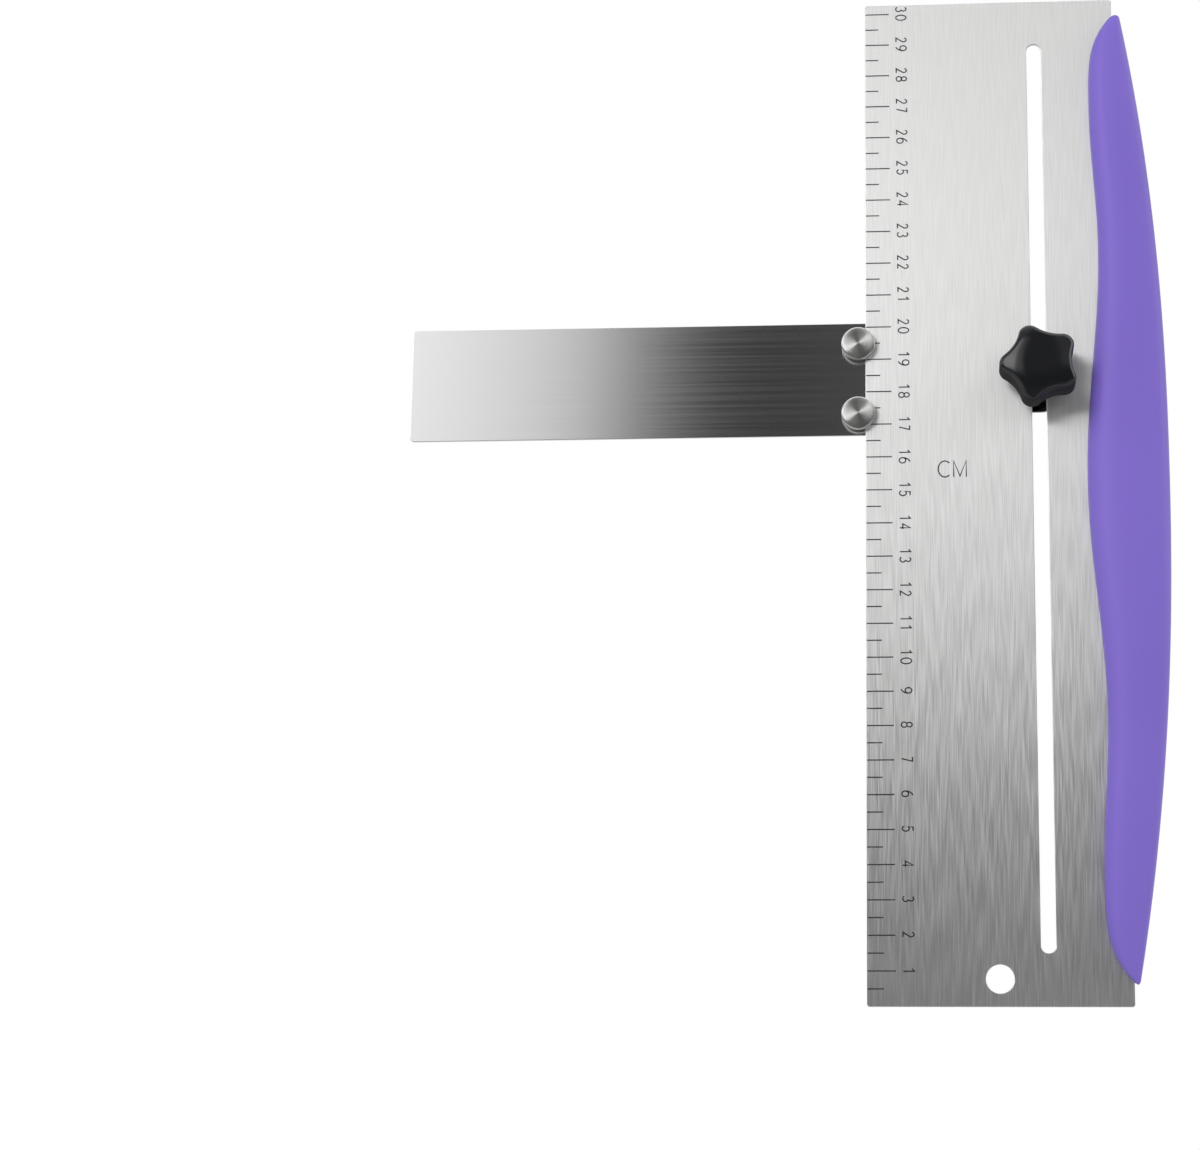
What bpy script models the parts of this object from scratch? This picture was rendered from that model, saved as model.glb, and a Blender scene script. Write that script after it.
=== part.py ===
"""Cake scraper: a slotted steel ruler plate, a moulded handle and a levelling blade clamped in the slot.

Run it with: blender --background --python part.py
The plate stands in the XZ plane and faces -Y. The origin is the middle of its bottom edge, where the
ruler starts. Every length is in metres.
"""

import math

import bmesh
import bpy
import numpy as np

MM = 0.001
CLEARANCE = 0.3 * MM  # between faces that seat on each other, and round a pin in its hole

# Ruler plate
PLATE_WIDTH = 75 * MM
PLATE_HEIGHT = 303 * MM
PLATE_THICKNESS = 1.0 * MM
PLATE_CORNER = 0.8 * MM
SLOT_WIDTH = 4.3 * MM
SLOT_BOTTOM = 15 * MM  # from the bottom edge to the slot's lower end
SLOT_TOP = 14 * MM  # from the top edge to the slot's upper end
HANGING_HOLE = 8 * MM
HANGING_HOLE_HEIGHT = 7.8 * MM

# Handle, measured inwards (overlap) and outwards (reach) from the plate's right edge
HANDLE_BOTTOM = 6.3 * MM  # from the bottom edge to the lower tip
HANDLE_TOP = 5.5 * MM  # from the top edge to the upper tip
OVERLAP_LOWER_TIP = -0.55 * MM  # this tip lies just outside the plate
OVERLAP_LOWER_BULGE = 7.75 * MM
OVERLAP_LOWER_WAIST = 5.85 * MM
OVERLAP_BELLY = 10.2 * MM
OVERLAP_UPPER_WAIST = 5.65 * MM
OVERLAP_UPPER_BULGE = 7.55 * MM
OVERLAP_UPPER_TIP = 0.1 * MM
END_SHARPNESS = 3.9  # power of the curve from each outer bulge to its tip
REACH_MIDDLE = 13.7 * MM
REACH_LOWER_TIP = 1.55 * MM
REACH_UPPER_TIP = 2.25 * MM
BOW_POWER = 2.24  # 2 is a parabola, and more is fuller towards the tips
TIP_ROUND = 1.0 * MM  # length over which each tip is rounded
TIP_BLUNT = 0.1 * MM  # of that rounding, what is left off at the very end
HANDLE_CROWN = 6.3 * MM  # height of one half above the parting plane
SECTION_POWER = 2.6  # 2 is an ellipse, and more is squarer
HANDLE_WALL = 2.0 * MM
RIB_THICKNESS = 1.6 * MM
POCKET_COUNT = 7
PEG_DIAMETER = 3.0 * MM
PEG_INSET = 3.8 * MM  # the pegs that pin the plate, inwards from its edge
PEG_OUTSET = 5.0 * MM  # the pegs that join the halves beyond the plate
PEG_ENGAGEMENT = 2.3 * MM  # how far a peg goes into the rear half
BOSS_WALL = 1.5 * MM

# Where the handle's waves and pegs lie, as shares of its length from the lower tip
STATION_LOWER_BULGE = 0.105
STATION_LOWER_WAIST = 0.262
STATION_BELLY = 0.500
STATION_WIDEST = 0.511
STATION_UPPER_WAIST = 0.746
STATION_UPPER_BULGE = 0.896
PLATE_PEG_STATIONS = (0.12, 0.50, 0.885)
OUTER_PEG_STATIONS = (0.31, 0.69)
POCKET_START = 0.055
POCKET_END = 0.945

# Levelling blade
CLAMP_HEIGHT = 184.3 * MM  # the clamp bolt's height in the slot, as photographed
BLADE_HEIGHT = 34.6 * MM
BLADE_REACH = 136.5 * MM  # beyond the plate's left edge
BLADE_THICKNESS = 1.0 * MM
BLADE_CORNER = 1.2 * MM
BLADE_LAP = 25 * MM  # how far its full height runs behind the plate
TAIL_HEIGHT = 22 * MM
SHOULDER_FILLET = 3 * MM

# Guide studs, which hook round the plate's left edge
STUD_SPACING = 21.4 * MM
STUD_DROP = 0.5 * MM  # the pair's middle lies this far below the bolt
STUD_HEAD_DIAMETER = 10 * MM
STUD_HEAD_THICKNESS = 2.0 * MM
STUD_HEAD_ROUND = 0.3 * MM
STUD_SHOULDER_DIAMETER = 3.6 * MM
STUD_END_WALL = 0.8 * MM  # metal left between the tapped hole and the face
STUD_SCREW_DIAMETER = 2.0 * MM
STUD_SCREW_HEAD_DIAMETER = 4.0 * MM
STUD_SCREW_HEAD_HEIGHT = 1.5 * MM
PAN_RIM = 0.4  # share of a pan head's height that is its upright rim

# Clamp bolt, washer, and knob
BOLT_DIAMETER = 3.9 * MM  # of its thread and of its neck's square
BOLT_SHANK_DIAMETER = 3.6 * MM  # unthreaded, where it runs in the slot
BOLT_HEAD_DIAMETER = 9.5 * MM
BOLT_HEAD_HEIGHT = 2.3 * MM
CARRIAGE_RIM = 0.2  # share of the bolt head's height that is its upright rim
BOLT_ENGAGEMENT = 9.0 * MM  # how far the bolt runs into the knob
WASHER_DIAMETER = 12 * MM
WASHER_THICKNESS = 1.0 * MM
KNOB_RADIUS = 11.8 * MM  # out to the lobes' tips
KNOB_LOBES = 5
KNOB_LOBE_RADIUS = 3.2 * MM
KNOB_VALLEY = 9.2 * MM  # from the axis to the bottom of each hollow
KNOB_ANGLE = 38.2  # degrees from +X to the first lobe
KNOB_TO_HANDLE = 1.8 * MM  # finger-side clearance from the lobes to the handle's belly
HUB_DIAMETER = 11 * MM
HUB_HEIGHT = 3.9 * MM  # the hub stands this far behind the star
STAR_THICKNESS = 10 * MM
STAR_EDGE = 1.4 * MM  # rounding of the front edge
STAR_BACK_EDGE = 0.5 * MM
STAR_DOME = 1.0 * MM  # how far the round face falls from the axis to the lobes' tips
STAR_WALL = 1.8 * MM
STAR_POCKET_DEPTH = 5.0 * MM
STAR_RIB = 1.2 * MM
INSERT_DIAMETER = 7 * MM
INSERT_LENGTH = 8 * MM
INSERT_GROOVE = 0.35 * MM

# Facets
CORNER_STEPS = 4
HOLE_STEPS = 40
TURNED_STEPS = 36
LOBE_STEPS = 7
EDGE_STEPS = 4
DOME_STEPS = 4
SECTION_STEPS = 12
HANDLE_STATIONS = 44
POCKET_STATIONS = 5
WELD = 0.005 * MM

# Places that follow from the sizes
LEFT = -PLATE_WIDTH / 2
RIGHT = PLATE_WIDTH / 2
PLATE_FRONT = -PLATE_THICKNESS / 2
PLATE_BACK = PLATE_THICKNESS / 2
SLOT_X = RIGHT - OVERLAP_BELLY - KNOB_TO_HANDLE - KNOB_RADIUS
HANDLE_LENGTH = PLATE_HEIGHT - HANDLE_BOTTOM - HANDLE_TOP
BLADE_FRONT = PLATE_BACK + CLEARANCE
BLADE_BACK = BLADE_FRONT + BLADE_THICKNESS
SHANK_HOLE = BOLT_DIAMETER + 2 * CLEARANCE
STUD_X = LEFT - CLEARANCE - STUD_SHOULDER_DIAMETER / 2
STUD_SCREW_HOLE = STUD_SCREW_DIAMETER + 2 * CLEARANCE
FRONT_SEAT = PLATE_FRONT - CLEARANCE  # what bears on the plate's face starts here
WASHER_FRONT = FRONT_SEAT - WASHER_THICKNESS
KNOB_BACK = WASHER_FRONT - CLEARANCE
STAR_BACK = KNOB_BACK - HUB_HEIGHT
STAR_FRONT = STAR_BACK - STAR_THICKNESS
PEG_HOLE = PEG_DIAMETER + 2 * CLEARANCE

# Round pieces are modelled upright along +Z and turned so that their top faces the front
FACING_FRONT = (math.pi / 2, 0, 0)


def clear_scene():
    """Empties the scene of what a new file holds."""
    for obj in list(bpy.data.objects):
        bpy.data.objects.remove(obj, do_unlink=True)


def new_collection(name):
    collection = bpy.data.collections.new(name)
    bpy.context.scene.collection.children.link(collection)
    return collection


def new_material(name, colour, roughness, metallic=0.0):
    material = bpy.data.materials.new(name)
    material.use_nodes = True
    material.diffuse_color = (*colour, 1)
    shader = material.node_tree.nodes["Principled BSDF"]
    shader.inputs["Base Color"].default_value = (*colour, 1)
    shader.inputs["Roughness"].default_value = roughness
    shader.inputs["Metallic"].default_value = metallic
    return material


def new_object(name, mesh, collection, material=None):
    obj = bpy.data.objects.new(name, mesh)
    collection.objects.link(obj)
    if material:
        mesh.materials.append(material)
        mesh.shade_smooth()
        mesh.set_sharp_from_angle(angle=math.radians(30))
    return obj


def as_cutter(obj):
    """A helper that shapes other objects and is no piece itself."""
    obj.hide_render = True
    obj.display_type = "WIRE"
    return obj


def shape_with(obj, operation, other):
    """Adds a Boolean with one object, or with all the objects of a list."""
    for tool in other if isinstance(other, list) else [other]:
        modifier = obj.modifiers.new(operation.lower(), "BOOLEAN")
        modifier.operation = operation
        modifier.object = tool


def arc(centre, radius, start, end, steps):
    """Points along an arc from one angle to the other, in degrees."""
    angles = np.radians(np.linspace(start, end, steps + 1))
    return [
        (centre[0] + radius * math.cos(angle), centre[1] + radius * math.sin(angle))
        for angle in angles
    ]


def circle(centre, diameter, steps=HOLE_STEPS):
    return arc(centre, diameter / 2, 0, 360, steps)[:-1]


def rounded_rectangle(left, right, bottom, top, radius):
    return [
        *arc((left + radius, bottom + radius), radius, 180, 270, CORNER_STEPS),
        *arc((right - radius, bottom + radius), radius, 270, 360, CORNER_STEPS),
        *arc((right - radius, top - radius), radius, 0, 90, CORNER_STEPS),
        *arc((left + radius, top - radius), radius, 90, 180, CORNER_STEPS),
    ]


def upright_slot(x, bottom, top, width):
    radius = width / 2
    half_turn = HOLE_STEPS // 2
    return [
        *arc((x, top - radius), radius, 0, 180, half_turn),
        *arc((x, bottom + radius), radius, 180, 360, half_turn),
    ]


def welded_mesh(curve_object, name):
    """The mesh of a filled curve, with its loose caps joined to its sides."""
    bpy.context.view_layer.update()
    graph = bpy.context.evaluated_depsgraph_get()
    mesh = bpy.data.meshes.new_from_object(curve_object.evaluated_get(graph))
    mesh.name = name
    edit = bmesh.new()
    edit.from_mesh(mesh)
    bmesh.ops.remove_doubles(edit, verts=edit.verts, dist=WELD)
    bmesh.ops.recalc_face_normals(edit, faces=edit.faces)
    edit.to_mesh(mesh)
    edit.free()
    mesh.materials.clear()
    return mesh


def sheet_metal(name, outlines, thickness, middle_y, collection, material):
    """A flat piece in the XZ plane: the first outline is its edge, and the others are its holes."""
    curve = bpy.data.curves.new(name, "CURVE")
    curve.dimensions = "2D"
    curve.fill_mode = "BOTH"
    curve.extrude = thickness / 2
    for outline in outlines:
        spline = curve.splines.new("POLY")
        spline.points.add(len(outline) - 1)
        for point, (x, z) in zip(spline.points, outline):
            point.co = (x, z, 0, 1)
        spline.use_cyclic_u = True
    drawn = bpy.data.objects.new(name + "_outline", curve)
    collection.objects.link(drawn)
    mesh = welded_mesh(drawn, name)
    bpy.data.objects.remove(drawn, do_unlink=True)
    obj = new_object(name, mesh, collection, material)
    obj.rotation_euler = FACING_FRONT
    obj.location.y = middle_y
    return obj


def lofted(name, rings, collection, material=None):
    """A closed solid through rings of equally many points, capped at both ends."""
    count, around = len(rings), len(rings[0])
    points = [tuple(point) for ring in rings for point in ring]
    faces = [
        (
            row * around + column,
            row * around + (column + 1) % around,
            (row + 1) * around + (column + 1) % around,
            (row + 1) * around + column,
        )
        for row in range(count - 1)
        for column in range(around)
    ]
    faces.append(tuple(reversed(range(around))))
    faces.append(tuple(range((count - 1) * around, count * around)))
    mesh = bpy.data.meshes.new(name)
    mesh.from_pydata(points, [], faces)
    edit = bmesh.new()
    edit.from_mesh(mesh)
    bmesh.ops.recalc_face_normals(edit, faces=edit.faces)
    edit.to_mesh(mesh)
    edit.free()
    return new_object(name, mesh, collection, material)


def turned(name, profile, x, z, collection, material=None, ring=False):
    """A turned piece on an axis along Y. The profile is (radius, distance in front of Y = 0).

    It runs down the outer side, from the front to the back. A ring's profile closes on itself.
    """
    mesh = bpy.data.meshes.new(name)
    points = [(radius, 0, front) for radius, front in profile]
    edges = [(i, i + 1) for i in range(len(points) - 1)]
    if ring:
        edges.append((len(points) - 1, 0))
    mesh.from_pydata(points, edges, [])
    obj = new_object(name, mesh, collection)
    if material:
        mesh.materials.append(material)
    screw = obj.modifiers.new("turn", "SCREW")
    screw.steps = screw.render_steps = TURNED_STEPS
    screw.use_merge_vertices = True
    screw.merge_threshold = WELD
    screw.use_smooth_shade = True
    obj.rotation_euler = FACING_FRONT
    obj.location = (x, 0, z)
    return obj


def rod(name, diameter, x, z, front, back, collection):
    """A plain cylinder along Y, for cutting or joining."""
    radius = diameter / 2
    profile = [(0, -front), (radius, -front), (radius, -back), (0, -back)]
    return turned(name, profile, x, z, collection)


def block(name, low, high, collection):
    """A box between two corners."""
    mesh = bpy.data.meshes.new(name)
    edit = bmesh.new()
    bmesh.ops.create_cube(edit, size=1)
    for vert in edit.verts:
        vert.co = [
            low[i] + (vert.co[i] + 0.5) * (high[i] - low[i]) for i in range(3)
        ]
    edit.to_mesh(mesh)
    edit.free()
    return new_object(name, mesh, collection)


def handle_peg_places():
    """(x, z) of each peg: first those through the plate, then those beyond its edge."""
    through = [(RIGHT - PEG_INSET, share) for share in PLATE_PEG_STATIONS]
    beyond = [(RIGHT + PEG_OUTSET, share) for share in OUTER_PEG_STATIONS]
    return [(x, HANDLE_BOTTOM + share * HANDLE_LENGTH) for x, share in through + beyond]


def make_plate(collection, material):
    outlines = [
        rounded_rectangle(LEFT, RIGHT, 0, PLATE_HEIGHT, PLATE_CORNER),
        upright_slot(SLOT_X, SLOT_BOTTOM, PLATE_HEIGHT - SLOT_TOP, SLOT_WIDTH),
        circle((0, HANGING_HOLE_HEIGHT), HANGING_HOLE),
    ]
    for x, z in handle_peg_places()[: len(PLATE_PEG_STATIONS)]:
        outlines.append(circle((x, z), PEG_HOLE))
    return sheet_metal(
        "scraper_plate", outlines, PLATE_THICKNESS, 0, collection, material
    )


def half_cosine(share, start, end):
    """A smooth step from start to end, level at both."""
    return start + (end - start) * (1 - math.cos(math.pi * share)) / 2


def overlap_at(station):
    """How far the handle covers the plate at a share of its length."""
    if station < STATION_LOWER_BULGE:
        fall = (1 - station / STATION_LOWER_BULGE) ** END_SHARPNESS
        return OVERLAP_LOWER_BULGE + (OVERLAP_LOWER_TIP - OVERLAP_LOWER_BULGE) * fall
    if station > STATION_UPPER_BULGE:
        fall = ((station - STATION_UPPER_BULGE) / (1 - STATION_UPPER_BULGE)) ** END_SHARPNESS
        return OVERLAP_UPPER_BULGE + (OVERLAP_UPPER_TIP - OVERLAP_UPPER_BULGE) * fall
    wave = (
        (STATION_LOWER_BULGE, OVERLAP_LOWER_BULGE),
        (STATION_LOWER_WAIST, OVERLAP_LOWER_WAIST),
        (STATION_BELLY, OVERLAP_BELLY),
        (STATION_UPPER_WAIST, OVERLAP_UPPER_WAIST),
        (STATION_UPPER_BULGE, OVERLAP_UPPER_BULGE),
    )
    for (start, first), (end, last) in zip(wave, wave[1:]):
        if station <= end:
            return half_cosine((station - start) / (end - start), first, last)
    return OVERLAP_UPPER_BULGE


def reach_at(station):
    """How far the handle stands out beyond the plate at a share of its length."""
    if station < STATION_WIDEST:
        away, tip = 1 - station / STATION_WIDEST, REACH_LOWER_TIP
    else:
        away, tip = (station - STATION_WIDEST) / (1 - STATION_WIDEST), REACH_UPPER_TIP
    return REACH_MIDDLE + (tip - REACH_MIDDLE) * away**BOW_POWER


def handle_edges(station):
    """The handle's left and right edges at a share of its length, drawn together at the rounded tips."""
    left, right = RIGHT - overlap_at(station), RIGHT + reach_at(station)
    to_tip = max(min(station, 1 - station), 0) * HANDLE_LENGTH + TIP_BLUNT
    rounding = math.sqrt(1 - max(1 - to_tip / TIP_ROUND, 0) ** 2)
    middle, half = (left + right) / 2, (right - left) / 2 * rounding
    return middle - half, middle + half


def handle_crown(station):
    """One half's height, lower where the handle is narrower."""
    left, right = handle_edges(station)
    full = OVERLAP_BELLY + REACH_MIDDLE
    return HANDLE_CROWN * math.sqrt((right - left) / full)


def handle_section(station, side, inset, base):
    """One ring: a flattened arch over the parting plane. Side is -1 in front and 1 behind."""
    left, right = handle_edges(station)
    middle, half = (left + right) / 2, (right - left) / 2 - inset
    crown = handle_crown(station) - inset
    z = HANDLE_BOTTOM + station * HANDLE_LENGTH
    ring = []
    for angle in np.linspace(math.pi, 0, SECTION_STEPS + 1):
        across = math.copysign(abs(math.cos(angle)) ** (2 / SECTION_POWER), math.cos(angle))
        up = max(math.sin(angle), 0) ** (2 / SECTION_POWER)
        ring.append([middle + half * across, side * (CLEARANCE / 2 + crown * up), z])
    ring[0][1] = ring[-1][1] = side * base
    return ring


def handle_outer(name, side, collection, material=None):
    """The full solid of one half, with its stations closer together towards the tips."""
    stations = (1 - np.cos(np.linspace(0, math.pi, HANDLE_STATIONS + 1))) / 2
    rings = [handle_section(share, side, 0, CLEARANCE / 2) for share in stations]
    return lofted(name, rings, collection, material)


def handle_pockets(name, side, boss_diameter, collection):
    """The hollows between the ribs, each left standing round the bosses."""
    rib_share = RIB_THICKNESS / HANDLE_LENGTH
    span = (POCKET_END - POCKET_START + rib_share) / POCKET_COUNT
    bosses = [
        rod(f"{name}_boss_{i}", boss_diameter, x, z, -HANDLE_CROWN * 2, HANDLE_CROWN * 2, collection)
        for i, (x, z) in enumerate(handle_peg_places())
    ]
    pockets = []
    for i in range(POCKET_COUNT):
        start = POCKET_START + i * span
        stations = np.linspace(start, start + span - rib_share, POCKET_STATIONS)
        rings = [handle_section(share, side, HANDLE_WALL, -CLEARANCE) for share in stations]
        pocket = lofted(f"{name}_pocket_{i}", rings, collection)
        shape_with(pocket, "DIFFERENCE", bosses)
        pockets.append(as_cutter(pocket))
    for boss in bosses:
        as_cutter(boss)
    return pockets


def plate_relief(name, side, collection):
    """The step that lets one half sit on the plate's face, with a gap to its edge."""
    depth = PLATE_THICKNESS / 2 + CLEARANCE
    low = (LEFT, min(-side * depth, side * depth), -PLATE_HEIGHT)
    high = (RIGHT + CLEARANCE, max(-side * depth, side * depth), 2 * PLATE_HEIGHT)
    return as_cutter(block(name, low, high, collection))


def make_handle_half(name, side, collection, cutters, material):
    """A moulded half: ribbed shell, bosses, and either pegs (front) or sockets (rear)."""
    hole = PEG_DIAMETER if side < 0 else PEG_HOLE
    half = handle_outer(name, side, collection, material)
    pockets = handle_pockets(name, side, hole + 2 * BOSS_WALL, cutters)
    shape_with(half, "DIFFERENCE", pockets)
    shape_with(half, "DIFFERENCE", plate_relief(name + "_relief", side, cutters))
    peg_end = PLATE_BACK + PEG_ENGAGEMENT
    for i, (x, z) in enumerate(handle_peg_places()):
        if side < 0:
            peg = rod(f"{name}_peg_{i}", hole, x, z, -peg_end, peg_end, cutters)
            shape_with(half, "UNION", as_cutter(peg))
        else:
            front, back = -CLEARANCE, peg_end + CLEARANCE
            socket = rod(f"{name}_socket_{i}", hole, x, z, front, back, cutters)
            shape_with(half, "DIFFERENCE", as_cutter(socket))
    return half


def blade_outline():
    """The blade's edge: square at its free end, stepped down to a tail that ends round the bolt."""
    left, shoulder = LEFT - BLADE_REACH, LEFT + BLADE_LAP
    half, tail = BLADE_HEIGHT / 2, TAIL_HEIGHT / 2
    fillet = min(SHOULDER_FILLET, (half - tail) / 2)
    corner = BLADE_CORNER
    low, high = CLAMP_HEIGHT - half, CLAMP_HEIGHT + half
    return [
        *arc((left + corner, low + corner), corner, 180, 270, CORNER_STEPS),
        *arc((shoulder - fillet, low + fillet), fillet, 270, 360, CORNER_STEPS),
        *arc((shoulder + fillet, CLAMP_HEIGHT - tail - fillet), fillet, 180, 90, CORNER_STEPS),
        *arc((SLOT_X, CLAMP_HEIGHT), tail, -90, 90, HOLE_STEPS // 2),
        *arc((shoulder + fillet, CLAMP_HEIGHT + tail + fillet), fillet, 270, 180, CORNER_STEPS),
        *arc((shoulder - fillet, high - fillet), fillet, 0, 90, CORNER_STEPS),
        *arc((left + corner, high - corner), corner, 90, 180, CORNER_STEPS),
    ]


def square_outline(x, z, side):
    half = side / 2
    return [
        (x - half, z - half),
        (x + half, z - half),
        (x + half, z + half),
        (x - half, z + half),
    ]


def stud_heights():
    middle = CLAMP_HEIGHT - STUD_DROP
    return {"upper": middle + STUD_SPACING / 2, "lower": middle - STUD_SPACING / 2}


def make_blade(collection, material):
    outlines = [
        blade_outline(),
        square_outline(SLOT_X, CLAMP_HEIGHT, SHANK_HOLE),
        *[circle((STUD_X, z), STUD_SCREW_HOLE) for z in stud_heights().values()],
    ]
    middle = (BLADE_FRONT + BLADE_BACK) / 2
    return sheet_metal(
        "levelling_blade", outlines, BLADE_THICKNESS, middle, collection, material
    )


def make_stud(name, z, collection, material):
    """A turned stud: its head laps the plate's face and its shoulder runs beside the plate's edge."""
    head, shoulder = STUD_HEAD_DIAMETER / 2, STUD_SHOULDER_DIAMETER / 2
    bore = STUD_SCREW_HOLE / 2
    head_back = -FRONT_SEAT
    face = head_back + STUD_HEAD_THICKNESS
    end = -(BLADE_FRONT - CLEARANCE)
    profile = [
        (0, face),
        (head - STUD_HEAD_ROUND, face),
        (head, face - STUD_HEAD_ROUND),
        (head, head_back + STUD_HEAD_ROUND),
        (head - STUD_HEAD_ROUND, head_back),
        (shoulder, head_back),
        (shoulder, end),
        (bore, end),
        (bore, face - STUD_END_WALL),
        (0, face - STUD_END_WALL),
    ]
    return turned(name, profile, STUD_X, z, collection, material)


def crown_share(rim, angle):
    """How much of a domed head's height is reached at an angle round its crown, over an upright rim."""
    return rim + (1 - rim) * math.sin(math.radians(angle))


def make_stud_screw(name, z, collection, material):
    """A pan-head screw from behind the blade into the stud."""
    head, shank = STUD_SCREW_HEAD_DIAMETER / 2, STUD_SCREW_DIAMETER / 2
    seat = -(BLADE_BACK + CLEARANCE)
    tip = -FRONT_SEAT + STUD_HEAD_THICKNESS - STUD_END_WALL - CLEARANCE
    crown = [
        (
            head * math.cos(math.radians(angle)),
            seat - STUD_SCREW_HEAD_HEIGHT * crown_share(PAN_RIM, angle),
        )
        for angle in (0, 25, 50, 70)
    ]
    profile = [
        (0, tip),
        (shank, tip),
        (shank, seat),
        (head, seat),
        *crown,
        (0, seat - STUD_SCREW_HEAD_HEIGHT),
    ]
    return turned(name, profile, STUD_X, z, collection, material)


def make_clamp_bolt(collection, cutters, material):
    """A carriage bolt: domed head behind the blade, square neck in it, plain shank in the slot, and thread."""
    head, shank, thread = BOLT_HEAD_DIAMETER / 2, BOLT_SHANK_DIAMETER / 2, BOLT_DIAMETER / 2
    seat = -(BLADE_BACK + CLEARANCE)
    tip = -KNOB_BACK + BOLT_ENGAGEMENT
    dome = [
        (
            head * math.cos(math.radians(angle)),
            seat - BOLT_HEAD_HEIGHT * crown_share(CARRIAGE_RIM, angle),
        )
        for angle in (0, 20, 40, 60, 75)
    ]
    profile = [
        (0, tip),
        (thread - CLEARANCE, tip),
        (thread, tip - CLEARANCE),
        (thread, -FRONT_SEAT),
        (shank, -FRONT_SEAT),
        (shank, seat),
        (head, seat),
        *dome,
        (0, seat - BOLT_HEAD_HEIGHT),
    ]
    bolt = turned("clamp_bolt", profile, SLOT_X, CLAMP_HEIGHT, collection, material)
    half = BOLT_DIAMETER / 2
    low = (SLOT_X - half, BLADE_FRONT, CLAMP_HEIGHT - half)
    high = (SLOT_X + half, BLADE_BACK + CLEARANCE + BOLT_HEAD_HEIGHT / 4, CLAMP_HEIGHT + half)
    shape_with(bolt, "UNION", as_cutter(block("square_neck", low, high, cutters)))
    return bolt


def make_washer(collection, material):
    outer, bore = WASHER_DIAMETER / 2, SHANK_HOLE / 2
    profile = [
        (bore, -WASHER_FRONT),
        (outer, -WASHER_FRONT),
        (outer, -FRONT_SEAT),
        (bore, -FRONT_SEAT),
    ]
    return turned(
        "knob_washer", profile, SLOT_X, CLAMP_HEIGHT, collection, material, ring=True
    )


def make_insert(collection, material):
    """The knob's threaded brass bush, with a groove round it that keys it in the moulding."""
    outer, bore = INSERT_DIAMETER / 2, SHANK_HOLE / 2
    back = -KNOB_BACK
    front = back + INSERT_LENGTH
    middle = (front + back) / 2
    groove = outer - INSERT_GROOVE
    half_width = INSERT_LENGTH / 8
    profile = [
        (bore, front),
        (outer, front),
        (outer, middle + half_width + INSERT_GROOVE),
        (groove, middle + half_width),
        (groove, middle - half_width),
        (outer, middle - half_width - INSERT_GROOVE),
        (outer, back),
        (bore, back),
    ]
    return turned(
        "knob_insert", profile, SLOT_X, CLAMP_HEIGHT, collection, material, ring=True
    )


def star_outline(inset=0.0):
    """The knob's outline as arcs: round lobes joined by hollows that touch them tangentially.

    An inset makes the parallel curve inside it: the lobes tighten and the hollows widen by as much.
    """
    step = math.pi / KNOB_LOBES
    lobe_at = KNOB_RADIUS - KNOB_LOBE_RADIUS
    along, aside = lobe_at * math.cos(step), lobe_at * math.sin(step)
    depth = KNOB_VALLEY - along
    hollow = (depth**2 + aside**2 - KNOB_LOBE_RADIUS**2) / (2 * (KNOB_LOBE_RADIUS - depth))
    hollow_at = KNOB_VALLEY + hollow
    half_hollow = math.degrees(math.atan2(aside, hollow_at - along))
    half_lobe = half_hollow + math.degrees(step)
    outline = []
    for i in range(KNOB_LOBES):
        lobe_turn = KNOB_ANGLE + 2 * i * math.degrees(step)
        hollow_turn = lobe_turn + math.degrees(step)
        lobe = [f(math.radians(lobe_turn)) * lobe_at for f in (math.cos, math.sin)]
        dip = [f(math.radians(hollow_turn)) * hollow_at for f in (math.cos, math.sin)]
        outline += arc(
            lobe, KNOB_LOBE_RADIUS - inset, lobe_turn - half_lobe, lobe_turn + half_lobe, LOBE_STEPS
        )[:-1]
        outline += arc(
            dip,
            hollow + inset,
            hollow_turn + 180 + half_hollow,
            hollow_turn + 180 - half_hollow,
            LOBE_STEPS,
        )[:-1]
    return outline


def star_ring(front, inset=0.0, scale=1.0, dome=0.0):
    """The star outline at a distance in front of Y = 0, drawn in by an inset or a scale.

    With a dome, each point falls back by that height times the square of its share of the knob's radius.
    """
    ring = []
    for x, z in star_outline(inset):
        fall = dome * (math.hypot(x, z) * scale / KNOB_RADIUS) ** 2
        ring.append((SLOT_X + x * scale, fall - front, CLAMP_HEIGHT + z * scale))
    return ring


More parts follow.
